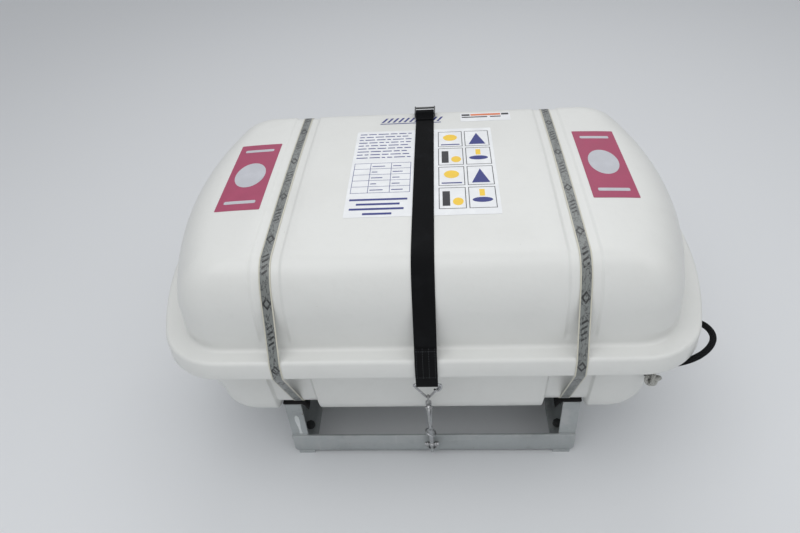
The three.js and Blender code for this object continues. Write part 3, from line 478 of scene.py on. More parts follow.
class Nodes:
    """A node tree with short ways to add nodes and feed them."""

    def __init__(self, tree: bpy.types.NodeTree) -> None:
        """Keep the tree and, in a material, its shader.

        Args:
            tree: the node tree to work in.
        """
        self.tree = tree
        self.shader = tree.nodes.get("Principled BSDF")
        self.count = 0

    def add(self, kind: str, **settings: object) -> bpy.types.Node:
        """Add a node.

        Args:
            kind: the node's type name.
            settings: properties to set on it.
        Returns:
            The new node.
        """
        node = self.tree.nodes.new(kind)
        node.location = (180 * (self.count % 9), -220 * (self.count // 9))
        self.count += 1
        for name, value in settings.items():
            setattr(node, name, value)
        return node

    def feed(self, target: Socket, value: object) -> None:
        """Link a socket to a target, or set the target to a plain value.

        Args:
            target: the input socket.
            value: an output socket, a colour or a number.
        """
        if isinstance(value, Socket):
            self.tree.links.new(value, target)
        elif isinstance(value, tuple) and len(value) == 3 and target.type == "RGBA":
            target.default_value = (*value, 1.0)
        else:
            target.default_value = value

    def surface(self, **values: object) -> None:
        """Feed the shader's inputs, named with underscores in place of spaces."""
        for name, value in values.items():
            self.feed(self.shader.inputs[name.replace("_", " ")], value)

    def where(self, space: Space = Space.OBJECT) -> Socket:
        """The texture coordinates that a pattern follows."""
        return self.add("ShaderNodeTexCoord").outputs[space.value]

    def split(self, vector: Socket) -> bpy.types.NodeOutputs:
        """The three numbers of a vector.

        Args:
            vector: the vector's socket.
        Returns:
            The sockets of X, Y and Z.
        """
        node = self.add("ShaderNodeSeparateXYZ")
        self.feed(node.inputs[0], vector)
        return node.outputs

    def math(self, operation: str, *values: object) -> Socket:
        """A Math node's result.

        Args:
            operation: what the node does.
            values: what to feed its inputs.
        Returns:
            The result's socket.
        """
        node = self.add("ShaderNodeMath", operation=operation)
        for target, value in zip(node.inputs, values):
            self.feed(target, value)
        return node.outputs[0]

    def ramp(self, value: object, low: float, high: float) -> Socket:
        """A smooth step of a value from low to high.

        Args:
            value: the value.
            low: where the step begins.
            high: where it ends.
        Returns:
            The share, from 0 to 1.
        """
        node = self.add("ShaderNodeMapRange", interpolation_type="SMOOTHSTEP")
        for label, source in (("Value", value), ("From Min", low), ("From Max", high)):
            self.feed(node.inputs[label], source)
        return node.outputs["Result"]

    def mix(self, factor: object, a: object, b: object) -> Socket:
        """A colour between two colours.

        Args:
            factor: the share of b.
            a: one colour.
            b: the other colour.
        Returns:
            The mixed colour's socket.
        """
        node = self.add("ShaderNodeMix", data_type="RGBA")
        for label, source in (("Factor", factor), ("A", a), ("B", b)):
            self.feed(node.inputs[label], source)
        return node.outputs["Result"]

    def noise(self, vector: object, scale: float, detail: float = 4.0, rough: float = 0.55) -> Socket:
        """A noise texture's value.

        Args:
            vector: the coordinates.
            scale: how fine it is.
            detail: its octaves.
            rough: their weight.
        Returns:
            The value's socket, from 0 to 1.
        """
        node = self.add("ShaderNodeTexNoise")
        for label, source in (("Vector", vector), ("Scale", scale), ("Detail", detail), ("Roughness", rough)):
            self.feed(node.inputs[label], source)
        return node.outputs["Fac"]

    def stretched(self, vector: object, scale: Point3) -> Socket:
        """A vector scaled by axis.

        Args:
            vector: the vector.
            scale: the three factors.
        Returns:
            The scaled vector.
        """
        node = self.add("ShaderNodeMapping")
        self.feed(node.inputs["Vector"], vector)
        self.feed(node.inputs["Scale"], scale)
        return node.outputs["Vector"]

    def effect(self, group: bpy.types.NodeTree, **values: object) -> bpy.types.NodeOutputs:
        """Place a shared effect with its own values.

        Args:
            group: the shared node group.
            values: what to feed its inputs.
        Returns:
            The group's outputs.
        """
        node = self.add("ShaderNodeGroup", node_tree=group)
        for label, value in values.items():
            self.feed(node.inputs[label], value)
        return node.outputs

    def bump(self, height: Socket, distance: float) -> None:
        """Feed a height, over a depth in metres, into the shader's normal.

        Args:
            height: the height's socket.
            distance: the depth of its full range.
        """
        node = self.add("ShaderNodeBump")
        self.feed(node.inputs["Strength"], 1.0)
        self.feed(node.inputs["Distance"], distance)
        self.feed(node.inputs["Height"], height)
        self.surface(Normal=node.outputs["Normal"])


class SharedEffects:
    """Node groups that several finishes use, each built once and kept."""

    @staticmethod
    def group(name: str, inputs: Dict[str, object], outputs: Dict[str, str]) -> Nodes:
        """Start a group with its named sockets.

        Args:
            name: the group's name.
            inputs: each input's default, with None for a vector.
            outputs: each output's kind, Color or Float.
        Returns:
            The new group's nodes, with its given and result sockets.
        """
        tree = bpy.data.node_groups.new(name, "ShaderNodeTree")
        kinds = {type(None): "Vector", tuple: "Color", float: "Float"}
        for label, default in inputs.items():
            kind = "NodeSocket" + kinds[type(default)]
            socket = tree.interface.new_socket(name=label, in_out="INPUT", socket_type=kind)
            if default is not None:
                socket.default_value = default
        for label, kind in outputs.items():
            tree.interface.new_socket(name=label, in_out="OUTPUT", socket_type="NodeSocket" + kind)
        nodes = Nodes(tree)
        nodes.given = nodes.add("NodeGroupInput").outputs
        nodes.result = nodes.add("NodeGroupOutput").inputs
        return nodes

    @staticmethod
    @lru_cache(maxsize=None)
    def grime() -> bpy.types.NodeTree:
        """Build soft dirt and fade over a base colour.

        Returns:
            The group, with the dirtied colour and its mask.
        """
        inputs = {"Vector": None, "Base": (0.8, 0.8, 0.8, 1.0), "Dirt": (0.3, 0.28, 0.25, 1.0), "Amount": 0.2}
        n = SharedEffects.group("grime", inputs, {"Color": "Color", "Mask": "Float"})
        broad = n.ramp(n.noise(n.given["Vector"], 6.0, 5.0), 0.45, 0.75)
        fine = n.ramp(n.noise(n.given["Vector"], 55.0, 6.0, 0.7), 0.5, 0.8)
        mask = n.math("MULTIPLY", n.math("MULTIPLY_ADD", fine, 0.6, broad), n.given["Amount"])
        n.feed(n.result["Color"], n.mix(mask, n.given["Base"], n.given["Dirt"]))
        n.feed(n.result["Mask"], mask)
        return n.tree

    @staticmethod
    @lru_cache(maxsize=None)
    def specks() -> bpy.types.NodeTree:
        """Build sparse small chips.

        Returns:
            The group, with their mask.
        """
        inputs = {"Vector": None, "Scale": 30.0, "Size": 0.08, "Share": 0.1}
        n = SharedEffects.group("specks", inputs, {"Mask": "Float"})
        jitter = n.add("ShaderNodeTexNoise")
        n.feed(jitter.inputs["Vector"], n.given["Vector"])
        n.feed(jitter.inputs["Scale"], 260.0)
        warp = n.add("ShaderNodeVectorMath", operation="MULTIPLY_ADD")
        for target, value in zip(warp.inputs, (jitter.outputs["Color"], (0.003, 0.003, 0.003), n.given["Vector"])):
            n.feed(target, value)
        cells = n.add("ShaderNodeTexVoronoi")
        n.feed(cells.inputs["Vector"], warp.outputs[0])
        n.feed(cells.inputs["Scale"], n.given["Scale"])
        pick_of, size_of = n.split(cells.outputs["Color"])[:2]
        near = n.math("LESS_THAN", cells.outputs["Distance"], n.math("MULTIPLY", n.given["Size"], size_of))
        chosen = n.math("LESS_THAN", pick_of, n.given["Share"])
        n.feed(n.result["Mask"], n.math("MULTIPLY", near, chosen))
        return n.tree

    @staticmethod
    @lru_cache(maxsize=None)
    def weave() -> bpy.types.NodeTree:
        """Build ribs and cross threads of a strap, from its UV map in threads.

        Returns:
            The group, with the threads' height and shade.
        """
        inputs = {"Vector": None, "Across": 20.0, "Along": 200.0}
        n = SharedEffects.group("weave", inputs, {"Height": "Float", "Shade": "Float"})
        across, along = n.split(n.given["Vector"])[:2]
        u = n.math("MULTIPLY", across, n.given["Across"])
        v = n.math("MULTIPLY", along, n.given["Along"])
        stagger = n.math("MULTIPLY", n.math("FLOORED_MODULO", n.math("FLOOR", u), 2.0), 0.5)
        rib = n.math("SINE", n.math("MULTIPLY", n.math("FRACT", u), math.pi))
        thread = n.math("SINE", n.math("MULTIPLY", n.math("FRACT", n.math("ADD", v, stagger)), math.pi))
        height = n.math("MULTIPLY", rib, n.math("MULTIPLY_ADD", thread, 0.6, 0.4))
        n.feed(n.result["Height"], height)
        n.feed(n.result["Shade"], n.math("MULTIPLY_ADD", height, 0.5, 0.5))
        return n.tree


@dataclass(frozen=True)
class Finish:
    """A plain surface finish with its own material."""

    name: str
    colour: Colour
    roughness: float = 0.5

    def build(self) -> Material:
        """Make the material.

        Returns:
            The material with its pattern.
        """
        material = bpy.data.materials.new(self.name)
        material.use_nodes = True
        nodes = Nodes(material.node_tree)
        nodes.surface(Base_Color=self.colour, Roughness=self.roughness)
        self.pattern(nodes)
        return material

    def pattern(self, n: Nodes) -> None:
        """Leave the surface plain."""


@dataclass(frozen=True)
class Gelcoat(Finish):
    """White gelcoat with faint waviness, dirt and chipped specks."""

    dirt: Colour = srgb(150, 146, 138)
    chip: Colour = srgb(96, 84, 74)

    def pattern(self, n: Nodes) -> None:
        """Add the specks, the dirt and the waviness.

        Args:
            n: the material's nodes.
        """
        where = n.where()
        grime = n.effect(SharedEffects.grime(), Vector=where, Base=self.colour, Dirt=self.dirt, Amount=0.07)
        specks = n.effect(SharedEffects.specks(), Vector=where, Scale=16.0, Size=0.036, Share=0.3)["Mask"]
        dust = n.effect(SharedEffects.specks(), Vector=where, Scale=60.0, Size=0.07, Share=0.06)["Mask"]
        chipped = n.mix(specks, grime["Color"], self.chip)
        rough = n.math("MULTIPLY_ADD", n.noise(where, 9.0), 0.16, self.roughness - 0.08)
        n.surface(Base_Color=n.mix(n.math("MULTIPLY", dust, 0.5), chipped, self.dirt), Roughness=rough)
        fine = n.math("MULTIPLY", n.noise(where, 420.0, 1.0), 0.06)
        peel = n.math("MULTIPLY_ADD", n.noise(where, 22.0, 2.0), 0.8, fine)
        n.bump(n.math("SUBTRACT", peel, n.math("MULTIPLY", specks, 0.5)), 0.0012)
        n.surface(Coat_Weight=0.25, Coat_Roughness=0.28)


@dataclass(frozen=True)
class Strapping(Finish):
    """Woven strap finish that follows the piece's own UV map."""

    across: float = 26.0
    along: float = 900.0
    dust: Colour = srgb(44, 46, 50)

    def pattern(self, n: Nodes) -> None:
        """Add the threads and the dust.

        Args:
            n: the material's nodes.
        """
        uv, where = n.where(Space.UV), n.where()
        weave = n.effect(SharedEffects.weave(), Vector=uv, Across=self.across, Along=self.along)
        worn = n.math("MULTIPLY", n.ramp(n.noise(where, 16.0, 6.0, 0.65), 0.48, 0.78), 0.35)
        dark = tuple(c * 0.45 for c in self.colour)
        n.surface(Base_Color=n.mix(weave["Shade"], dark, n.mix(worn, self.colour, self.dust)))
        n.bump(weave["Height"], 0.0006)
        n.surface(Specular_IOR_Level=0.18)


@dataclass(frozen=True)
class PrintedBand(Finish):
    """Grey film-wrapped strapping with repeated plain marks and pale tape edges."""

    mark: Colour = srgb(20, 21, 22)
    edge: Colour = srgb(196, 193, 178)
    dirt: Colour = srgb(70, 70, 66)
    length: float = 2.0
    repeat: float = 0.139

    def marks(self, n: Nodes, signed: Socket, across: Socket, along: Socket) -> Socket:
        """Draw a lozenge and four slanted strokes in each repeat.

        Args:
            n: the material's nodes.
            signed: place across the band, from -1 to 1.
            across: the same without its sign.
            along: the band's own V coordinate.
        Returns:
            The marks as a mask.
        """
        step = n.math("FRACT", n.math("MULTIPLY", along, self.length / self.repeat))
        off = n.math("MULTIPLY", n.math("ABSOLUTE", n.math("SUBTRACT", step, 0.22)), 8.6)
        lozenge = n.math("ABSOLUTE", n.math("SUBTRACT", n.math("ADD", off, across), 0.62))
        found = n.math("LESS_THAN", lozenge, 0.19)
        short = n.math("LESS_THAN", across, 0.5)
        for centre in (0.56, 0.64, 0.72, 0.80):
            slant = n.math("MULTIPLY_ADD", signed, 0.05, n.math("SUBTRACT", step, centre))
            stroke = n.math("LESS_THAN", n.math("ABSOLUTE", slant), 0.017)
            found = n.math("MAXIMUM", found, n.math("MULTIPLY", stroke, short))
        return found

    def pattern(self, n: Nodes) -> None:
        """Add the marks, painted shade along the film's creases, dirt and tape edges.

        Args:
            n: the material's nodes.
        """
        uv, where = n.where(Space.UV), n.where()
        u, v = n.split(uv)[:2]
        signed = n.math("MULTIPLY_ADD", u, 2.0, -1.0)
        across = n.math("ABSOLUTE", signed)
        folds = n.noise(n.stretched(where, (130.0, 50.0, 50.0)), 1.0, 4.0, 0.6)
        # Thin dark lines along the film's creases: painted shade in the crinkles, drawn in the ink colour.
        crease_shade = n.math("LESS_THAN", n.math("ABSOLUTE", n.math("SUBTRACT", folds, 0.5)), 0.018)
        printed = n.math("MULTIPLY", self.marks(n, signed, across, v), n.ramp(n.noise(where, 190.0, 3.0), 0.25, 0.5))
        # worn joins the patchy print with the painted crease shade.
        worn = n.math("MAXIMUM", printed, n.math("MULTIPLY", crease_shade, 0.8))
        grime = n.effect(SharedEffects.grime(), Vector=where, Base=self.colour, Dirt=self.dirt, Amount=0.3)
        inked = n.mix(worn, grime["Color"], self.mark)
        n.surface(Base_Color=n.mix(n.math("GREATER_THAN", across, 0.78), inked, self.edge))
        n.bump(n.noise(n.stretched(where, (60.0, 60.0, 60.0)), 4.0, 3.0), 0.0008)
        n.surface(Coat_Weight=0.5, Coat_Roughness=0.2)


@dataclass(frozen=True)
class Steel(Finish):
    """Bare metal with fine scratches and dull patches."""

    stain: Colour = srgb(112, 104, 96)
    scratch: float = 0.12

    def pattern(self, n: Nodes) -> None:
        """Add the scratches and the dull patches.

        Args:
            n: the material's nodes.
        """
        where = n.where()
        grime = n.effect(SharedEffects.grime(), Vector=where, Base=self.colour, Dirt=self.stain, Amount=0.45)
        grain = n.noise(n.stretched(where, (900.0, 900.0, 90.0)), 1.0, 3.0)
        dull = n.math("MULTIPLY_ADD", grime["Mask"], 0.4, self.roughness)
        n.surface(Metallic=1.0, Base_Color=grime["Color"], Roughness=n.math("MULTIPLY_ADD", grain, self.scratch, dull))
        n.bump(grain, 0.00008)


@dataclass(frozen=True)
class CradlePaint(Finish):
    """Grey paint over galvanised steel, chipped and streaked."""

    bare: Colour = srgb(176, 178, 178)
    rust: Colour = srgb(104, 74, 52)
    streak: Colour = srgb(196, 200, 200)
    dirt: Colour = srgb(92, 94, 92)

    def pattern(self, n: Nodes) -> None:
        """Add worn edges, chips, streaks and brush marks.

        Args:
            n: the material's nodes.
        """
        where = n.where()
        grime = n.effect(SharedEffects.grime(), Vector=where, Base=self.colour, Dirt=self.dirt, Amount=0.3)
        edge = n.ramp(n.add("ShaderNodeNewGeometry").outputs["Pointiness"], 0.53, 0.6)
        edge = n.math("MULTIPLY", edge, n.ramp(n.noise(where, 40.0), 0.4, 0.6))
        specks = n.effect(SharedEffects.specks(), Vector=where, Scale=55.0, Size=0.14, Share=0.12)["Mask"]
        worn = n.mix(n.math("MULTIPLY", edge, 0.7), grime["Color"], self.bare)
        chipped = n.mix(n.math("MULTIPLY", specks, 0.8), worn, self.rust)
        runs = n.ramp(n.noise(n.stretched(where, (70.0, 70.0, 5.0)), 1.0, 3.0), 0.62, 0.8)
        rough = n.math("MULTIPLY_ADD", grime["Mask"], 0.5, self.roughness)
        n.surface(Base_Color=n.mix(n.math("MULTIPLY", runs, 0.35), chipped, self.streak), Roughness=rough)
        n.bump(n.noise(where, 160.0, 3.0), 0.0003)
        n.surface(Metallic=0.15)


@dataclass(frozen=True)
class SoftRubber(Finish):
    """Black rubber with dust in its pores."""

    dust: Colour = srgb(58, 58, 57)

    def pattern(self, n: Nodes) -> None:
        """Add the dust and the pores.

        Args:
            n: the material's nodes.
        """
        where = n.where()
        grime = n.effect(SharedEffects.grime(), Vector=where, Base=self.colour, Dirt=self.dust, Amount=0.2)
        n.surface(Base_Color=grime["Color"], Specular_IOR_Level=0.25)
        n.bump(n.noise(where, 380.0, 4.0, 0.7), 0.0004)


@dataclass(frozen=True)
class Braid(Finish):
    """Braided rope that follows the cord's own UV map, with painted shade between its strands."""

    turns: float = 60.0
    # Colour of the gaps between strands: painted shade in the grooves.
    gap: Colour = srgb(10, 10, 11)
    strands: float = 8.0

    def pattern(self, n: Nodes) -> None:
        """Add the strands, which cross left and right, with painted shade in the gaps between them.

        Args:
            n: the material's nodes.
        """
        u, v = n.split(n.where(Space.UV))[:2]
        around = n.math("MULTIPLY", v, self.strands)
        along = n.math("MULTIPLY", u, self.turns)
        left, right = (
            n.math("SINE", n.math("MULTIPLY", n.math(turn, along, around), math.tau)) for turn in ("ADD", "SUBTRACT")
        )
        height = n.math("MAXIMUM", left, right)
        n.surface(Base_Color=n.mix(n.ramp(height, -0.2, 0.7), self.gap, self.colour), Specular_IOR_Level=0.2)
        n.bump(height, 0.0007)


@dataclass(frozen=True)
class Ink(Finish):
    """Printed or plain vinyl, a little faded."""

    def pattern(self, n: Nodes) -> None:
        """Add the fading.

        Args:
            n: the material's nodes.
        """
        where = n.where()
        pale = tuple(min(1.0, c * 1.25 + 0.03) for c in self.colour)
        fade = n.ramp(n.noise(where, 34.0, 5.0), 0.4, 0.8)
        rough = n.math("MULTIPLY_ADD", fade, 0.2, self.roughness)
        n.surface(Base_Color=n.mix(n.math("MULTIPLY", fade, 0.4), self.colour, pale), Roughness=rough)
        n.bump(n.noise(where, 120.0, 2.0), 0.0002)


class Finishes:
    """All the finishes of this canister, made once."""

    def __init__(self) -> None:
        """Make each material."""
        web, white = srgb(13, 14, 16), srgb(232, 232, 226)
        self.gelcoat = Gelcoat("white gelcoat", srgb(217, 218, 215), 0.42).build()
        self.webbing = Strapping("black webbing", web, 0.92).build()
        self.webbing_short = Strapping("black webbing, short", web, 0.92, along=24.0).build()
        self.band = PrintedBand("film-wrapped band", srgb(118, 122, 120), 0.42).build()
        self.stainless = Steel("stainless steel", srgb(186, 188, 190), 0.1).build()
        self.zinc = Steel("zinc plate", srgb(160, 163, 164), 0.38).build()
        self.dark_steel = Steel("weathered bolt steel", srgb(104, 106, 106), 0.45, stain=srgb(60, 56, 52)).build()
        self.paint = CradlePaint("cradle paint", srgb(164, 169, 170), 0.5).build()
        self.paint_run = CradlePaint("bright paint run", srgb(214, 218, 218), 0.35).build()
        self.rubber = SoftRubber("black rubber", srgb(13, 13, 14), 0.8).build()
        # Each rope's gap colour is painted shade between its strands.
        self.black_rope = Braid("black rope", srgb(20, 21, 23), 0.9, turns=26.0, gap=srgb(5, 5, 6)).build()
        self.white_rope = Braid("white rope", white, 0.8, turns=40.0, gap=srgb(70, 71, 68)).build()
        self.crimson = Ink("crimson vinyl", srgb(158, 62, 94), 0.45).build()
        self.grey_panel = Ink("pale grey vinyl", srgb(184, 186, 192), 0.45).build()
        self.paper = Ink("white vinyl", srgb(226, 228, 230), 0.4).build()
        self.navy = Ink("navy print", srgb(38, 48, 122), 0.45).build()
        self.black = Ink("black print", srgb(36, 38, 44), 0.45).build()
        self.yellow = Ink("yellow print", srgb(236, 196, 60), 0.45).build()
        self.orange = Ink("orange print", srgb(214, 116, 70), 0.45).build()
        self.stitch = Ink("black thread", srgb(52, 54, 58), 0.7).build()
        self.raft = SoftRubber("raft fabric", srgb(200, 84, 34), 0.7, dust=srgb(150, 70, 40)).build()
        self.bag = SoftRubber("bag fabric", srgb(214, 160, 50), 0.75, dust=srgb(150, 120, 60)).build()
        self.bottle = CradlePaint("cylinder paint", srgb(184, 188, 190), 0.4).build()


# Stage


@dataclass
class Stage:
    """Camera, floor and soft studio light, placed in metres."""

    location: Point3 = (0.0384, -1.1233, 1.2489)
    right: Point3 = (0.99729, 0.03835, -0.06266)
    up: Point3 = (0.0237, 0.63933, 0.76857)
    lens: float = 29.34
    floor_size: float = 90.0
    floor_colour: Colour = srgb(219, 221, 223)
    horizon: Colour = (0.37, 0.38, 0.39)
    zenith: Colour = (0.54, 0.55, 0.57)
    aim: Point3 = (0.0, 0.0, 0.3)
    lamps: Tuple[Tuple[str, Point3, float, float], ...] = (
        ("key", (-0.7, -1.0, 2.7), 2.0, 20.0),
        ("fill", (1.5, -0.7, 2.4), 2.0, 11.0),
        ("back", (0.1, 1.7, 2.6), 2.2, 17.0),
        ("low", (0.2, -2.7, 0.8), 2.4, 8.0),
    )

    def camera(self) -> None:
        """Place the camera at the photograph's angle."""
        data = bpy.data.cameras.new("Camera")
        data.lens = self.lens
        data.sensor_width = 36.0
        camera = add_object("Camera", data)
        right = Vector(self.right).normalized()
        up = Vector(self.up)
        up = (up - right * up.dot(right)).normalized()
        matrix = Matrix((right, up, right.cross(up))).transposed().to_4x4()
        matrix.translation = Vector(self.location)
        camera.matrix_world = matrix
        bpy.context.scene.camera = camera

    def floor(self) -> None:
        """Lay a pale floor."""
        deselect()
        bpy.ops.mesh.primitive_plane_add(size=self.floor_size)
        plane = done(bpy.context.active_object, "floor")
        dress(plane, Finish("floor", self.floor_colour, 0.6).build())

    def lights(self) -> None:
        """Hang soft lamps and set the world."""
        for name, place, size, watts in self.lamps:
            data = bpy.data.lights.new(name, "AREA")
            data.energy = watts
            data.size = size
            lamp = add_object(name, data)
            lamp.location = place
            lamp.rotation_euler = (Vector(self.aim) - Vector(place)).to_track_quat("-Z", "Y").to_euler()
        world = bpy.data.worlds.new("soft sky")
        world.use_nodes = True
        nodes = Nodes(world.node_tree)
        background = world.node_tree.nodes["Background"]
        height = nodes.split(nodes.add("ShaderNodeTexCoord").outputs["Generated"])[2]
        nodes.feed(background.inputs["Color"], nodes.mix(nodes.ramp(height, -0.1, 0.9), self.horizon, self.zenith))
        nodes.feed(background.inputs["Strength"], 1.0)
        bpy.context.scene.world = world

    def build(self) -> None:
        """Set up the whole stage."""
        self.camera()
        self.floor()
        self.lights()
        bpy.context.scene.view_settings.view_transform = "Standard"
        log.info("stage set")


# The canister's shells


@dataclass(frozen=True)
class Recess:
    """The channel that a closing band lies in."""

    centre: float
    width: float
    slope: float

    def share(self, x: float) -> float:
        """How deep the channel is at x, from 0 to 1."""
        off = abs(abs(x) - self.centre) - self.width / 2.0
        return 1.0 - smoothstep(off / self.slope)

    def stations(self) -> List[float]:
        """Choose where the shell has points.

        Returns:
            Distances along the straight side.
        """
        inner, outer = self.centre - self.width / 2.0, self.centre + self.width / 2.0
        steps = [i / 5.0 for i in range(6)]
        down = [inner - self.slope * (1.0 - s) for s in steps]
        back = [outer + self.slope * s for s in steps]
        return [0.0, 55.0, 110.0, 165.0, inner - self.slope - 20.0] + down + [self.centre] + back


@dataclass(frozen=True)
class Ring:
    """One level of a shell: its plan outline, height and how its recess moves it."""

    length: float
    depth: float
    corner: float
    end: float
    z: float
    recess: float = 0.0
    side: float = 0.0
    up: float = 0.0
    inward: float = 0.0
    crown: float = 0.0

    def at(self, x: float, y: float, channel: Recess) -> Point3:
        """Find the shell's point for a point of the plan outline.

        Args:
            x: the point's place along the canister.
            y: its place across.
            channel: the channel pressed into the shell.
        Returns:
            The point, moved by the channel and by the crown.
        """
        deep = channel.share(x) * self.recess
        lift = self.crown * (1.0 - (x / (self.length / 2.0)) ** 4)
        return x, (y + deep * self.side) * (1.0 - self.inward), self.z + lift - deep * self.up

    def quadrant(self, straight: Sequence[float]) -> List[Point2]:
        """Draw a quarter of the plan outline.

        Args:
            straight: distances along the straight side.
        Returns:
            Its points, from the front's middle to the end's middle.
        """
        corner_steps, end_steps = 14, 8
        end_centre = self.length / 2.0 - self.end
        corner_y = -(self.depth / 2.0 - self.corner)
        reach = self.end - self.corner
        corner_x = end_centre + math.sqrt(reach * reach - corner_y * corner_y)
        end_angle = math.atan2(corner_y, corner_x - end_centre)
        points = [(x, -self.depth / 2.0) for x in straight]
        for i in range(corner_steps):
            a = lerp(-math.pi / 2.0, end_angle, i / corner_steps)
            points.append((corner_x + self.corner * math.cos(a), corner_y + self.corner * math.sin(a)))
        for i in range(end_steps + 1):
            a = end_angle * (1.0 - i / end_steps)
            points.append((end_centre + self.end * math.cos(a), self.end * math.sin(a) if i < end_steps else 0.0))
        return points

    def outline(self, channel: Recess) -> List[Vector]:
        """Draw the whole ring.

        Args:
            channel: the channel pressed into the shell.
        Returns:
            Its points, anticlockwise from above.
        """
        quarter = [self.at(x, y, channel) for x, y in self.quadrant(channel.stations())]
        right = quarter + [(x, -y, z) for x, y, z in quarter[-2::-1]]
        left = [(-x, y, z) for x, y, z in right[-2:0:-1]]
        return [Vector(p) for p in right + left]

    def rounded_over(
        self, way: float, rise: float, end: float, front: float, steps: int,
        corner: Callable[[float], float], recess: Callable[[float], float],
    ) -> List["Ring"]:
        """Round a wall over, from this ring on.

        Args:
            way: 1 towards the top, -1 towards the bottom.
            rise: height of the rounding.
            end: how far it goes in at the ends.
            front: how far it goes in at the long sides.
            steps: number of rings after this one.
            corner: plan radius of the corners by the share gone.
            recess: depth of the channel by the share of the rise gone.
        Returns:
            The rings, with one at this ring's place first.
        """
        rings = []
        for i in range(steps + 1):
            a = math.pi / 2.0 * i / steps
            ny, nz = rise * math.cos(a), front * math.sin(a)
            size, gone = math.hypot(ny, nz), 1.0 - math.cos(a)
            rings.append(
                Ring(
                    self.length - 2 * end * gone, self.depth - 2 * front * gone, corner(i / steps), self.end,
                    self.z + way * rise * math.sin(a), recess(math.sin(a)), ny / size, way * nz / size,
                )
            )
        return rings


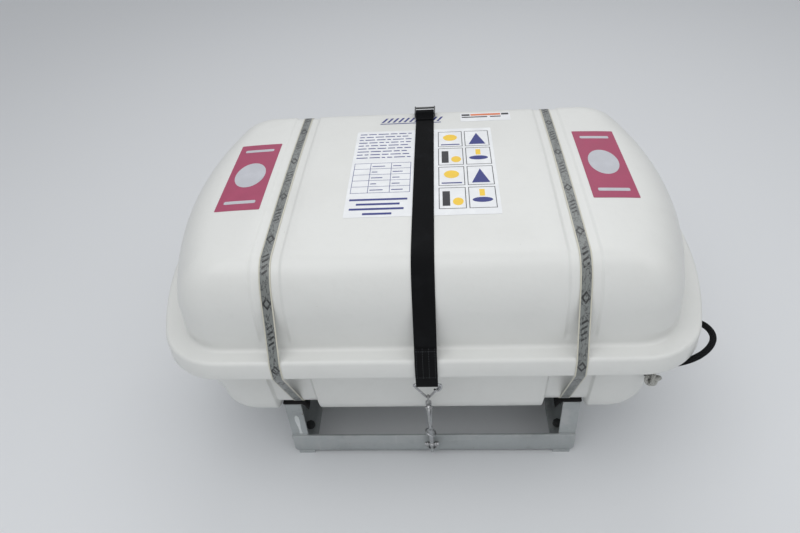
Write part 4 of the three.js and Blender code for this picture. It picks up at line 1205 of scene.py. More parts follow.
@dataclass
class Shells:
    """Dome with its overhanging flange, and tub."""

    finishes: Finishes
    shelf: float = 387.4
    flange_length: float = 1090.0
    flange_depth: float = 700.0
    flange_corner: float = 130.0
    flange_end: float = 800.0
    skirt: float = 40.0
    skirt_draft: float = 1.5
    edge_radius: float = 7.0
    wall: float = 4.0
    dome_length: float = 996.0
    dome_depth: float = 630.0
    dome_rise: float = 173.0
    dome_crown: float = 7.0
    dome_wall: float = 68.0
    end_draft: float = 0.06
    front_draft: float = 0.02
    end_round: float = 94.0
    front_round: float = 64.0
    dome_corner: float = 92.0
    top_corner: float = 45.0
    least_dome_corner: float = 20.0
    dome_end: float = 826.0
    cove: float = 8.0
    seal: float = 5.6
    tub_depth: float = 624.0
    tub_top: float = 20.0
    tub_drop: float = 236.0
    tub_end_taper: float = 37.0
    tub_front_taper: float = 26.0
    tub_end_round: float = 73.0
    tub_front_round: float = 43.0
    tub_rise: float = 59.0
    tub_corner: float = 90.0
    tub_bottom_corner: float = 42.0
    least_tub_corner: float = 18.0
    tub_end: float = 1200.0
    rim_inset: float = 2.5
    band_x: float = 271.5
    upper_depth: float = 3.0
    tub_recess: float = 8.0
    tub_floor_recess: float = 19.0
    upper_recess: Recess = field(default_factory=lambda: Recess(271.5, 46.0, 8.0))
    lower_recess: Recess = field(default_factory=lambda: Recess(271.5, 78.0, 7.0))

    def loft(self, name: str, rings: Sequence[Ring], channel: Recess) -> Object:
        """Draw a grid through rings of points.

        Args:
            name: the piece name.
            rings: the levels in order, from the inside round to the outside.
            channel: the channel pressed into them.
        Returns:
            The closed shell.
        """
        outlines = [r.outline(channel) for r in rings]
        columns, rows = len(outlines[0]), len(outlines) - 1

        def place(u: float, v: float) -> Vector:
            """The ring's point, round it and up."""
            return outlines[round(v * rows)][round(u * columns) % columns]

        return shaped_grid(name, columns, rows, place, 50.0)

    def flange_ring(self, inset: float, z: float) -> Ring:
        """A ring of the flange, moved in from its outer edge."""
        length, depth = self.flange_length - 2 * inset, self.flange_depth - 2 * inset
        return Ring(length, depth, self.flange_corner - inset, self.flange_end, z)

    def dome_rings(self, inset: float, round_steps: int, crown_steps: int) -> List[Ring]:
        """Lay rings up the dome.

        Args:
            inset: 0 for the outer face, or the wall's thickness.
            round_steps: rings of the rounding.
            crown_steps: rings from there to the ridge.
        Returns:
            The rings from the shelf to the ridge.
        """

        def corner(share: float) -> float:
            """Plan radius of the corners."""
            return max(lerp(self.dome_corner, self.top_corner, share) - inset, self.least_dome_corner)

        def wall_ring(rise: float, share: float, out: float = 0.0, z: Optional[float] = None) -> Ring:
            """A ring of the wall at a rise over the shelf, with a share of the channel's depth.

            Args:
                rise: height over the shelf.
                share: share of the channel's depth.
                out: how far the cove takes it out.
                z: its own height, where that isn't the rise's.
            Returns:
                The ring.
            """
            return Ring(
                self.dome_length - 2 * inset - 2 * self.end_draft * rise + 2 * out,
                self.dome_depth - 2 * inset - 2 * self.front_draft * rise + 2 * out,
                corner(share * 0.4) + out,
                self.dome_end,
                self.shelf + rise if z is None else z,
                share * self.upper_depth,
                1.0,
            )

        rings = []
        if inset > 0.0:
            rings.append(wall_ring(0.0, 0.0, z=self.shelf - self.wall))
        else:
            for i in range(7):
                a = math.radians(90.0 * i / 6.0)
                rings.append(wall_ring(self.cove * (1.0 - math.cos(a)), 0.0, self.cove * (1.0 - math.sin(a))))
        for rise in (12.0, 16.0, 20.0, 24.0, 28.0, 34.0, 45.0, 56.0, self.dome_wall):
            rings.append(wall_ring(rise, smoothstep((rise - self.cove) / 22.0)))
        rings += rings[-1].rounded_over(
            1.0, self.dome_rise - self.dome_wall - inset, self.end_round - inset, self.front_round - inset, round_steps,
            lambda share: corner(0.4 + 0.6 * share), lambda _: self.upper_depth,
        )[1:]
        rim = rings[-1]
        for i in range(1, crown_steps + 1):
            share = i / crown_steps
            rings.append(replace(rim, inward=share, crown=self.dome_crown * (1.0 - (1.0 - share) ** 2)))
        return rings

    def upper_rings(self) -> Tuple[List[Ring], List[Ring]]:
        """Lay the rings of the upper shell.

        Returns:
            The outer and the inner ones, each from the bottom up.
        """
        bottom = self.shelf - self.skirt
        outer = [self.flange_ring(inset, bottom + rise) for inset, rise in ((0.9, 0.0), (0.2, 0.4), (0.0, 1.2))]
        outer.append(self.flange_ring(self.skirt_draft * 0.8, self.shelf - self.edge_radius))
        for i in range(1, 7):
            a = math.radians(90.0 * i / 6.0)
            inset = self.skirt_draft + self.edge_radius * (1.0 - math.cos(a))
            outer.append(self.flange_ring(inset, self.shelf - self.edge_radius * (1.0 - math.sin(a))))
        inner = [self.flange_ring(self.wall - 0.7, bottom), self.flange_ring(self.wall, bottom + 1.0)]
        inner.append(self.flange_ring(self.wall + self.skirt_draft, self.shelf - self.wall))
        return outer + self.dome_rings(0.0, 14, 9), inner + self.dome_rings(self.wall, 6, 3)

    def tub_share(self, z: float) -> float:
        """How far down the tub's wall a height is, from 0 up."""
        span = self.shelf - self.tub_top - (self.shelf - self.tub_drop + self.tub_rise)
        return (self.shelf - self.tub_top - z) / span

    def tub_rings(self, inset: float, round_steps: int) -> List[Ring]:
        """Lay rings up the tub.

        Args:
            inset: 0 for the outer face, or the wall's thickness.
            round_steps: steps of the rounding from floor to wall.
        Returns:
            The rings from the floor's middle line up to under the rim.
        """
        rise = self.tub_rise - inset
        bottom = self.shelf - self.tub_drop + inset + rise

        def corner(share: float) -> float:
            """Plan radius of the corners."""
            return max(lerp(self.tub_corner, self.tub_bottom_corner, share) - inset, self.least_tub_corner)

        def wall_ring(z: float, deep: float) -> Ring:
            """A ring of the wall at a height, with a share of the channel's depth.

            Args:
                z: its height.
                deep: share of the channel's depth.
            Returns:
                The ring.
            """
            share = min(max(self.tub_share(z), 0.0), 1.0)
            length = self.dome_length - 2 * inset - 2 * self.tub_end_taper * share
            depth = self.tub_depth - 2 * inset - 2 * self.tub_front_taper * share
            return Ring(length, depth, corner(0.15 * share), self.tub_end, z, deep * self.tub_recess, 1.0)

        rounds = wall_ring(bottom, 1.0).rounded_over(
            -1.0, rise, self.tub_end_round - inset, self.tub_front_round - inset, round_steps,
            lambda share: corner(0.15 + 0.85 * share), lambda t: lerp(self.tub_recess, self.tub_floor_recess, t),
        )
        rings = [replace(rounds[-1], inward=1.0 - i / 5.0) for i in range(5)] + rounds[::-1]
        for drop in (110.0, 90.0, 74.0, 66.0, 60.0, 54.0, 48.0, 42.0, 36.0):
            rings.append(wall_ring(self.shelf - drop, smoothstep((drop - 34.0) / 28.0)))
        rim_top = self.shelf - self.wall - self.seal
        rings.append(wall_ring(rim_top - (0.0 if inset > 0.0 else self.wall), 0.0))
        return rings

    def girth(self, x: float) -> List[Point2]:
        """Stretch a line round the closed canister in the plane at x.

        Args:
            x: the plane's place.
        Returns:
            The line's corners, as y and z.
        """
        levels = [(r, self.upper_recess) for r in self.upper_rings()[0]]
        levels += [(r, self.lower_recess) for r in self.tub_rings(0.0, 12)]
        half = [ring.at(x, -ring.depth / 2.0, channel)[1:] for ring, channel in levels]
        return hull([p for y, z in half for p in ((y, z), (-y, z))])

    def corner_spot(self, degrees: float, drop: float) -> Tuple[Vector, Vector]:
        """Find a point on the tub's round corner.

        Args:
            degrees: plan angle on the corner's arc, 0 along +X.
            drop: distance below the shelf.
        Returns:
            The point and the outward normal there.
        """
        angle = math.radians(degrees)
        level = Vector((math.cos(angle), math.sin(angle), 0.0))

        def at(z: float) -> Vector:
            """The corner's point at a height.

            Args:
                z: the height.
            Returns:
                The point.
            """
            share = self.tub_share(z)
            r = lerp(self.tub_corner, self.tub_bottom_corner, 0.15 * share)
            cy = -(self.tub_depth / 2.0 - self.tub_front_taper * share - r)
            end_centre = self.dome_length / 2.0 - self.tub_end_taper * share - self.tub_end
            cx = end_centre + math.sqrt((self.tub_end - r) ** 2 - cy * cy)
            return Vector((cx + r * math.cos(angle), cy + r * math.sin(angle), z))

        point = at(self.shelf - drop)
        lean = (at(self.shelf - drop + 1.0) - point).dot(level)
        return point, Vector((level.x, level.y, -lean)).normalized()

    def upper(self) -> Object:
        """Make the upper shell.

        Returns:
            The shell, for labels to lie on.
        """
        outer, inner = self.upper_rings()
        shell = self.loft("dome_and_flange", inner[::-1] + outer, self.upper_recess)
        return settle(shell, self.finishes.gelcoat, ["upper_shell"])

    def lower(self, holes: Sequence[Tuple[Vector, Vector, float]]) -> None:
        """Make the tub and drill its holes.

        Args:
            holes: centre, direction and radius of each hole.
        """
        inset = self.wall + self.skirt_draft + self.rim_inset
        rim_top = self.shelf - self.wall - self.seal
        rim = [self.flange_ring(inset, rim_top - self.wall), self.flange_ring(inset, rim_top)]
        tub = self.loft("tub", self.tub_rings(0.0, 12) + rim + self.tub_rings(self.wall, 6)[::-1], self.lower_recess)
        for centre, direction, radius in holes:
            deselect()
            bpy.ops.mesh.primitive_cylinder_add(vertices=32, radius=radius * MM, depth=0.04, location=centre * MM)
            drill = bpy.context.active_object
            drill.rotation_euler = direction.to_track_quat("Z", "Y").to_euler()
            modifier = tub.modifiers.new("hole", "BOOLEAN")
            modifier.operation = "DIFFERENCE"
            modifier.solver = "EXACT"
            modifier.object = drill
            apply_modifiers(tub)
            bpy.data.objects.remove(drill, do_unlink=True)
        smooth(tub, 50.0)
        settle(done(tub, "tub"), self.finishes.gelcoat, ["lower_shell"])


# Straps


def strap(
    name: str, x: float, path: Sequence[Point2], width: float, thick: float, closed: bool, offset: float = 0.0
) -> Object:
    """Sweep a flat strap's section along a path in the Y-Z plane.

    Args:
        name: the piece name.
        x: the strap's middle.
        path: the line that the strap follows.
        width: the strap's width.
        thick: its thickness.
        closed: whether the strap is a loop.
        offset: how far out of the path the strap lies.
    Returns:
        The strap, with UV across and along it.
    """
    normals = path_normals(path, closed)
    t = thick / 2.0
    r = t * 0.9
    straight = width / 2.0 - r
    half_turns = ((straight, -90.0), (-straight, 90.0))
    ends = [(cx, math.radians(start + 30.0 * i)) for cx, start in half_turns for i in range(7)]
    section = [(cx + r * math.cos(a), t * math.sin(a)) for cx, a in ends]
    flat = [(lerp(-straight, straight, i / 4.0), -t) for i in range(1, 4)]
    section = section[:7] + [(-p[0], t) for p in flat] + section[7:] + flat
    count, rows = len(section), len(path) - (0 if closed else 1)

    def place(u: float, v: float) -> Vector:
        """The section's point at a row.

        Args:
            u: share of the way in the grid's first direction.
            v: share of the way in its second direction.
        Returns:
            The point.
        """
        sx, sn = section[round(u * count) % count]
        i = round(v * rows) % len(path)
        (y, z), (ny, nz) = path[i], normals[i]
        return Vector((x + sx, y + ny * (offset + sn), z + nz * (offset + sn)))

    obj = shaped_grid(name, count, rows, place, 50.0)
    if not closed:
        cap_ends(obj)
    layer = obj.data.uv_layers.active.data
    for loop in obj.data.loops:
        layer[loop.index].uv[0] = (obj.data.vertices[loop.vertex_index].co.x / MM - x) / width + 0.5
    return obj


@dataclass
class Bands:
    """The two closing bands with their crimped seals."""

    shells: Shells
    finishes: Finishes
    film: float = 21.0
    thick: float = 1.2
    gap: float = 0.3

    def build(self) -> None:
        """Make both bands and dress their seals."""
        path = resample(self.shells.girth(self.shells.band_x), 7.0, True)
        for side in Side:
            label, x = side.name.lower(), side.value * self.shells.band_x
            band = strap(f"closing_band_{label}", x, path, self.film, self.thick, True, self.gap + self.thick / 2.0)
            settle(band, self.finishes.band, [f"band_{label}"])
            soften(f"band_seal_{label}", f"crimp_seal_{label}", 0.35, self.finishes.zinc)


@dataclass
class Lashing:
    """The webbing with its sewn end loops and slide buckle."""

    shells: Shells
    finishes: Finishes
    width: float = 40.0
    thick: float = 2.5
    gap: float = 0.3
    ply_gap: float = 0.15
    wire: float = 2.2
    lug: Point2 = (-276.3, 27.0)
    corner: Point2 = (-352.95, 347.4)
    front_loop: float = 307.95
    rear_loop: float = 99.2
    tail_rise: float = 26.0
    buckle_y: float = 246.0
    buckle_lift: float = 9.0
    buckle_reach: float = 24.0
    fold_route: Tuple[Point2, ...] = (
        (-32.0, 4.3), (-27.0, 4.8), (-22.6, 7.8), (-18.9, 12.0), (-17.4, 15.0),
        (-15.0, 16.0), (-12.4, 14.9), (-11.2, 12.4), (-10.9, 10.9),
    )

    def end_loop(self, distance: float) -> List[Point2]:
        """Wrap the webbing round a delta ring's base bar at the back.

        Args:
            distance: the bar's distance from the lug hole along the strap.
        Returns:
            Points from the outer ply round to the inner one.
        """
        run, rise = self.corner[0] - self.lug[0], self.corner[1] - self.lug[1]
        share = distance / math.hypot(run, rise)
        start = math.degrees(math.atan2(rise, -run)) - 70.0
        radius = self.wire + self.gap + self.thick / 2.0
        return arc(-(self.lug[0] + run * share), self.lug[1] + rise * share, radius, start, start - 220.0, 8)

    def over_top(self) -> List[Point2]:
        """Find the line that the webbing lies on.

        Returns:
            The line from the back skirt corner over the dome to the front one.
        """
        top = [p for p in self.shells.girth(0.0) if p[1] > self.corner[1] - 0.5]
        top.sort(key=lambda p: math.atan2(p[1] - self.corner[1] + 60.0, p[0]))
        return top

    def lifted(self, points: Sequence[Point2]) -> List[Point2]:
        """Raise the webbing's line over the slide buckle's lower bar.

        Args:
            points: the line from back to front.
        Returns:
            The raised line.
        """
        out = []
        for (y, z), (ny, nz) in zip(points, path_normals(points, False)):
            off = abs(y - self.buckle_y)
            rise = self.buckle_lift * (1.0 - smoothstep((off - 4.0) / (self.buckle_reach - 4.0)))
            out.append((y + ny * rise, z + nz * rise))
        return out

    def build(self) -> None:
        """Make webbing, stitching and buckle."""
        top = self.lifted(resample(self.over_top(), 6.0))
        normals = path_normals(top, False)
        inner_off = self.gap + self.thick / 2.0
        outer_off = inner_off + self.thick + self.ply_gap
        low = [i for i, p in enumerate(top) if p[1] < self.shells.shelf + self.tail_rise]
        rear_tail = [i for i in low if top[i][0] > 0][::-1]
        front_tail = [i for i in low if top[i][0] < 0]

        def lay(index: int, off: float) -> Point2:
            """A point over the line at an offset."""
            return top[index][0] + normals[index][0] * off, top[index][1] + normals[index][1] * off

        path = [lay(i, outer_off) for i in rear_tail] + self.end_loop(self.rear_loop)
        path += [lay(i, inner_off) for i in range(len(top))]
        path += [(-y, z) for y, z in self.end_loop(self.front_loop)[::-1]]
        path += [lay(i, outer_off) for i in front_tail[::-1]]
        webbing = strap("webbing", 0.0, resample(path, 4.0), self.width, self.thick, False)
        settle(webbing, self.finishes.webbing, ["lashing_webbing"])
        self.fold()
        for label, tail in (("front", front_tail), ("rear", rear_tail)):
            self.stitch(label, resample([lay(i, outer_off + self.thick / 2.0) for i in tail], 5.0))
        soften("web_slide_buckle", "slide_buckle", 0.5, self.finishes.dark_steel)

    def fold(self) -> None:
        """Lay the webbing's fold over the buckle's front bar."""
        line = self.over_top()
        after = min((p for p in line if p[0] >= self.buckle_y), key=lambda p: p[0])
        before = max((p for p in line if 0.0 < p[0] < self.buckle_y), key=lambda p: p[0])
        slope = math.atan2(after[1] - before[1], after[0] - before[0])
        share = (self.buckle_y - before[0]) / (after[0] - before[0])
        seat = Vector((0.0, self.buckle_y, lerp(before[1], after[1], share)))
        along = Vector((0.0, math.cos(slope), math.sin(slope)))
        up = Vector((0.0, -math.sin(slope), math.cos(slope)))
        route = curve_through([seat + along * a + up * h for a, h in self.fold_route], 26)
        piece = strap("webbing_fold", 0.0, [(p.y, p.z) for p in route], self.width, self.thick, False)
        settle(piece, self.finishes.webbing_short)

    def stitch(self, label: str, line: Sequence[Point2]) -> None:
        """Sew four rows and two cross rows down a doubled end.

        Args:
            label: front or rear.
            line: the webbing's outer face down that end.
        """
        normals = path_normals(line, False)
        outward = 1.0 if normals[0][0] * line[0][0] > 0 else -1.0
        deselect()
        bpy.ops.mesh.primitive_uv_sphere_add(segments=8, ring_count=4, radius=0.5)
        seed = bpy.context.active_object
        shape = [v.co.copy() for v in seed.data.vertices]
        faces = [list(p.vertices) for p in seed.data.polygons]
        bpy.data.objects.remove(seed, do_unlink=True)
        vertices: List[Point3] = []
        polygons: List[List[int]] = []

        def sew(x: float, i: int, along: Vector, size: float) -> None:
            """Add one stitch at a place across the webbing, at a point of the line.

            Args:
                x: place across the webbing.
                i: which point of the line.
                along: the thread's direction.
                size: the stitch's length.
            """
            normal = Vector((0.0, *normals[i])) * outward
            side = along.cross(normal)
            base = len(vertices)
            centre = Vector((x, *line[i])) + normal * 0.02
            for c in shape:
                vertices.append(tuple((centre + along * c.x * size + side * c.y * 0.9 + normal * c.z * 0.7) * MM))
            polygons.extend([[base + k for k in f] for f in faces])

        for i, (here, ahead) in enumerate(zip(line, line[1:])):
            step = Vector((0.0, ahead[0] - here[0], ahead[1] - here[1])).normalized()
            for x in (-16.5, -5.5, 5.5, 16.5):
                sew(x, i, step, 3.4)
        for i in (1, len(line) - 2):
            for k in range(9):
                sew(lerp(-16.0, 16.0, k / 8.0), i, Vector((1.0, 0.0, 0.0)), 3.2)
        data = bpy.data.meshes.new("stitches")
        data.from_pydata(vertices, [], polygons)
        obj = add_object(f"webbing_stitches_{label}", data)
        tidy_mesh(obj, 1e-7)
        smooth(obj, 60.0)
        settle(done(obj, f"webbing_stitches_{label}"), self.finishes.stitch)


# Fittings of the lashing


@dataclass
class Fittings:
    """Slip hook, links, shackles and delta rings, in the strap's own frame."""

    lashing: Lashing
    finishes: Finishes
    gap: float = 0.3
    shackle_half: float = 8.4
    shackle_wire: float = 2.6
    shackle_bow: float = 1.3
    shackle_pin: float = 26.0
    eye_radius: float = 4.3
    eye_wire: float = 1.25
    link_wire: float = 1.6
    link_half: float = 4.2
    link_reach: float = 24.0
    rear_half: float = 4.75
    rear_reach: float = 30.0
    lower_foot: float = 215.15
    delta_wire: float = 2.2
    delta_half: float = 26.6
    delta_height: float = 52.0
    apex_round: float = 4.5
    corner_round: float = 4.0
    curl_wire: float = 2.0
    curl: Tuple[Point3, ...] = (
        (24.4, 0.4, -1.0), (25.6, -1.4, -5.0), (25.4, -3.0, -9.5), (23.4, -4.2, -13.6),
        (20.2, -4.5, -16.6), (16.8, -4.4, -17.2), (14.2, -4.2, -15.4), (13.3, -4.1, -12.2),
    )
    ring_radius: float = 10.8
    ring_wire: float = 1.6
    ring_place: Point3 = (0.0, -3.3, 97.0)
    ring_tilt: Point2 = (-25.0, 24.0)

    def strap_frame(self, rear: bool) -> Matrix:
        """Find the matrix from the front or the rear strap's own frame to the canister's.

        Args:
            rear: whether it is the rear strap's.
        Returns:
            The matrix, which turns places on the strap into places on the canister.
        """
        lug, corner = self.lashing.lug, self.lashing.corner
        lean = math.atan2(lug[0] - corner[0], corner[1] - lug[1])
        matrix = Matrix.Translation((0.0, *lug)) @ Matrix.Rotation(lean, 4, "X")
        return Matrix.Rotation(math.pi, 4, "Z") @ matrix if rear else matrix

    def bend(
        self, name: str, nodes: Sequence[str], points: Sequence[Vector], radius: float,
        rear: bool = False, closed: bool = True, body: Body = Body.CANISTER,
    ) -> None:
        """Bend one wire piece in the strap's frame.

        Args:
            name: the piece name.
            nodes: the CAD nodes that it stands for.
            points: its centre line.
            radius: the wire's radius.
            rear: whether it hangs at the back.
            closed: whether its ends are welded.
            body: the rigid body it rides on.
        """
        matrix = self.strap_frame(rear)
        obj = wire(name, [matrix @ p for p in points], radius, closed)
        settle(obj, self.finishes.stainless, nodes, body)

    @staticmethod
    def link_points(foot: float, lie: Lie, half: float, reach: float) -> List[Vector]:
        """Draw the centre line of a long link.

        Args:
            foot: its lower end's place along the strap.
            lie: how it lies.
            half: half its width.
            reach: its length.
        Returns:
            The centre line.
        """
        outline = arc(0.0, foot + half, half, 180.0, 360.0, 12) + arc(0.0, foot + reach - half, half, 0.0, 180.0, 12)
        return [Vector((a, 0.0, z)) if lie is Lie.FLAT else Vector((0.0, a, z)) for a, z in outline]

    def delta_points(self, apex: float) -> List[Vector]:
        """Draw the centre line of a delta ring with rounded corners.

        Args:
            apex: its lower end's place along the strap.
        Returns:
            The centre line.
        """
        base = apex + self.delta_height
        low = apex
        for _ in range(8):
            slant = math.sin(math.atan2(self.delta_half, base - low))
            low = apex + self.apex_round - self.apex_round / slant
        corners = [((0.0, low), self.apex_round)]
        corners += [((side * self.delta_half, base), self.corner_round) for side in (1.0, -1.0)]
        points = []
        for i, ((x, z), r) in enumerate(corners):
            here = Vector((x, z))
            back = (Vector(corners[i - 1][0]) - here).normalized()
            onward = (Vector(corners[(i + 1) % 3][0]) - here).normalized()
            half = back.angle(onward) / 2.0
            centre = here + (back + onward).normalized() * (r / math.sin(half))
            first = here + back * (r / math.tan(half)) - centre
            last = here + onward * (r / math.tan(half)) - centre
            sweep = first.angle_signed(last)
            for k in range(11):
                arm = first.copy()
                arm.rotate(Matrix.Rotation(-sweep * k / 10.0, 2))
                points.append(Vector((centre.x + arm.x, 0.0, centre.y + arm.y)))
        return points

    def shackle(self, label: str, rear: bool) -> None:
        """Make a shackle with its two eyes and its pin.

        Args:
            label: front or rear.
            rear: whether it stands at the back.
        """
        half, top = self.shackle_half, self.shackle_pin
        centre = self.shackle_bow + half
        outline = [(half, top - 1.0), (half, centre + 5.0), *arc(0.0, centre, half, 0.0, -180.0, 16)]
        outline += [(-half, centre + 5.0), (-half, top - 1.0)]
        matrix = self.strap_frame(rear)
        bow = wire(f"{label}_bow", [matrix @ Vector((x, 0.0, z)) for x, z in outline], self.shackle_wire, False)
        eyes = []
        for side in (-1.0, 1.0):
            deselect()
            bpy.ops.mesh.primitive_torus_add(
                major_segments=28, minor_segments=12, major_radius=self.eye_radius * MM, minor_radius=self.eye_wire * MM
            )
            eye = bpy.context.active_object
            place = matrix @ Matrix.Translation((side * half, 0.0, top))
            place.translation = place.translation * MM
            turn = Matrix.Rotation(math.pi / 2.0, 4, "Y") @ Matrix.Diagonal((1.0, 1.0, 1.9, 1.0))
            eye.matrix_world = place @ turn
            eyes.append(eye)
        pick(bow)
        for eye in eyes:
            eye.select_set(True)
        bpy.ops.object.join()
        smooth(bow, 50.0)
        settle(done(bow, f"{label}_bow"), self.finishes.stainless, [f"{label}_shackle"])
        soften(f"{label}_shackle_pin", f"{label}_bow_pin", 0.4, self.finishes.stainless)

    def build(self) -> None:
        """Make all the fittings."""
        upper_foot = self.lower_foot + self.link_reach - 2 * self.link_wire - self.gap
        apex = upper_foot + self.link_reach - self.link_wire - self.delta_wire - self.gap
        rear_foot = self.shackle_pin - self.rear_half
        rear_apex = rear_foot + self.rear_reach - self.link_wire - self.delta_wire - self.gap
        low = self.link_points(self.lower_foot, Lie.FLAT, self.link_half, self.link_reach)
        high = self.link_points(upper_foot, Lie.EDGE, self.link_half, self.link_reach)
        back = self.link_points(rear_foot, Lie.EDGE, self.rear_half, self.rear_reach)
        base = apex + self.delta_height
        curl = curve_through([Vector((x, y, base + z)) for x, y, z in self.curl], 40)
        self.bend("chain_link_low", ["lower_link"], low, self.link_wire)
        self.bend("chain_link_high", ["upper_link"], high, self.link_wire)
        self.bend("delta_front", ["front_delta_ring"], self.delta_points(apex), self.delta_wire)
        self.bend("delta_front_curl", [], curl, self.curl_wire, closed=False)
        self.bend("chain_link_rear", ["rear_link"], back, self.link_wire, rear=True)
        self.bend("delta_rear", ["rear_delta_ring"], self.delta_points(rear_apex), self.delta_wire, rear=True)
        self.shackle("front", False)
        self.shackle("rear", True)
        lean, roll = (math.radians(a) for a in self.ring_tilt)
        place = Matrix.Translation(self.ring_place) @ Matrix.Rotation(lean, 4, "X") @ Matrix.Rotation(roll, 4, "Y")
        circle = [place @ Vector((x, y, 0.0)) for x, y in arc(0.0, 0.0, self.ring_radius, 0.0, 360.0, 40)[:-1]]
        self.bend("retaining_ring", ["hook_ring"], circle, self.ring_wire, body=Body.RING)
        for node, name, body in (
            ("hook_body", "slip_hook_shank", Body.CANISTER),
            ("hook_tongue", "slip_hook_tongue", Body.TONGUE),
            ("hook_pin", "slip_hook_pin", Body.CANISTER),
        ):
            soften(node, name, 0.45, self.finishes.stainless, body)


# Cradle


@dataclass
class Cradle:
    """Bars, rails, rubber strips, pads, bolts and weld beads."""

    finishes: Finishes
    rail_outer: float = 308.0
    bar_back: float = -262.3
    weld_z: float = 59.4
    weld_radius: float = 2.3
    pad_inner: float = 256.0
    pad_shift: float = 13.6
    strip_half: float = 261.0
    lip_droop: float = 9.0
    droop_reach: float = 70.0
    strip_top: Tuple[Point2, ...] = ((310.0, 168.6), (308.6, 170.1), (296.0, 170.1), (282.0, 170.1), (272.5, 168.6))
    strip_under: Tuple[Point2, ...] = ((272.0, 163.1), (280.0, 163.1), (296.0, 163.1), (308.6, 163.1), (310.0, 164.4))
    run_widths: Tuple[Point2, ...] = (
        (126.0, 1.2), (120.0, 4.6), (108.0, 5.2), (96.0, 4.0), (84.0, 2.6), (72.0, 2.4), (66.0, 3.4), (61.0, 4.6),
    )

    def pad(self, end: str, label: str, side: int) -> None:
        """Make a foot pad whose inner edge ends under the rail's foot.

        Args:
            end: front or rear.
            label: left or right.
            side: -1 or 1, the sign of its place along X.
        """
        piece = refined_copy(f"foot_pad_{end}_{label}", f"pad_{end}_{label}", 0.8)
        for vertex in piece.data.vertices:
            reach = abs(vertex.co.x) / MM
            if reach < self.pad_inner:
                vertex.co.x = side * (reach + self.pad_shift) * MM
        settle(piece, self.finishes.paint, [f"foot_pad_{end}_{label}"])

    def weld(self, name: str, start: Vector, end: Vector) -> None:
        """Lay a rippled weld bead between two points.

        Args:
            name: the piece name.
            start: one end of the bead.
            end: its other end.
        """
        rng = random.Random(7)
        span = end - start
        along = span.normalized()
        side = along.cross(Vector((0.0, 0.3, 1.0))).normalized()
        over = side.cross(along)
        rows = max(int(span.length / 0.9), 8)
        swell = [1.0 + 0.16 * math.sin(i * 2.1) + rng.uniform(-0.1, 0.1) for i in range(rows + 1)]

        def place(u: float, v: float) -> Vector:
            """A point of the bead's skin.

            Args:
                u: share of the way in the grid's first direction.
                v: share of the way in its second direction.
            Returns:
                The point.
            """
            ease = math.sqrt(max(1.0 - (2.0 * v - 1.0) ** 8, 0.0))
            r = self.weld_radius * swell[round(v * rows)] * ease
            return start + span * v + side * (r * math.cos(math.tau * u)) + over * (r * math.sin(math.tau * u))

        settle(shaped_grid(name, 10, rows, place, 60.0), self.finishes.paint)

    def strip_section(self, droop: float) -> List[Point2]:
        """Draw the rubber strip's section.

        Args:
            droop: how far its inner lip hangs below its usual place.
        Returns:
            The section's corners, as distance from the middle plane and height.
        """
        tip_x, tip_z = 257.6 - 0.12 * droop, 156.4 - droop
        lip = [(266.0, 165.4), (261.0, 161.2 - 0.35 * droop), (tip_x, tip_z + 1.9)]
        back = [(tip_x + 0.6, tip_z - 1.2), (tip_x + 2.6, tip_z - 1.7), (tip_x + 4.2, tip_z + 0.4)]
        return [*self.strip_top, *lip, *back, (265.2, 159.8 - 0.3 * droop), (268.8, 162.6), *self.strip_under]

    def rubber(self, label: str, side: int) -> None:
        """Lay the rest's rubber strip, whose inner lip hangs lower towards both ends.

        Args:
            label: left or right.
            side: -1 or 1, the sign of its place along X.
        """

        def place(u: float, v: float) -> Vector:
            """A point of the section at a row.

            Args:
                u: share of the way in the grid's first direction.
                v: share of the way in its second direction.
            Returns:
                The point.
            """
            edge = min(v, 1.0 - v) * 2.0 * self.strip_half
            shape = self.strip_section(self.lip_droop * (1.0 - smoothstep(edge / self.droop_reach)))
            x, z = shape[round(u * len(shape)) % len(shape)]
            return Vector((side * x, lerp(-self.strip_half, self.strip_half, v), z))

        strip = shaped_grid(f"rest_rubber_{label}", len(self.strip_section(0.0)), 60, place, 50.0)
        cap_ends(strip)
        settle(strip, self.finishes.rubber, [f"rubber_strip_{label}"])

    def paint_run(self) -> None:
        """Let bright paint run down the left end plate to its weld."""
        rows = len(self.run_widths) - 1

        def place(u: float, v: float) -> Vector:
            """A point of the run's flat section at a row.

            Args:
                u: share of the way in the grid's first direction.
                v: share of the way in its second direction.
            Returns:
                The point.
            """
            z, half = self.run_widths[round(v * rows)]
            middle = -289.4 + (126.0 - z) * 0.03
            return Vector((middle + half * math.cos(math.tau * u), -262.1 - 0.5 * math.sin(math.tau * u), z))

        run = shaped_grid("bright_paint_run", 12, rows, place, 60.0)
        cap_ends(run)
        settle(run, self.finishes.paint_run)

    def build(self) -> None:
        """Make the whole cradle."""
        f = self.finishes
        self.paint_run()
        for end in ("front", "rear"):
            soften(f"cradle_{end}_bar", f"angle_bar_{end}", 0.9, f.paint)
        for side in Side:
            label = side.name.lower()
            soften(f"cradle_rail_{label}", f"channel_rail_{label}", 0.8, f.paint)
            self.rubber(label, side.value)
            for end, back in (("front", self.bar_back), ("rear", -self.bar_back)):
                self.pad(end, label, side.value)
                soften(f"deck_bolt_{end}_{label}", f"bolt_{end}_{label}", 0.5, f.dark_steel)
                toe, heel = (
                    Vector((side.value * (self.rail_outer - inset), back, self.weld_z)) for inset in (2.0, 34.0)
                )
                self.weld(f"weld_{end}_{label}", toe, heel)


# Labels


Shape = Tuple[Sequence[Point2], Material]


def box(x0: float, x1: float, y0: float, y1: float) -> List[Point2]:
    """Outline of a box."""
    return [(x0, y0), (x1, y0), (x1, y1), (x0, y1)]


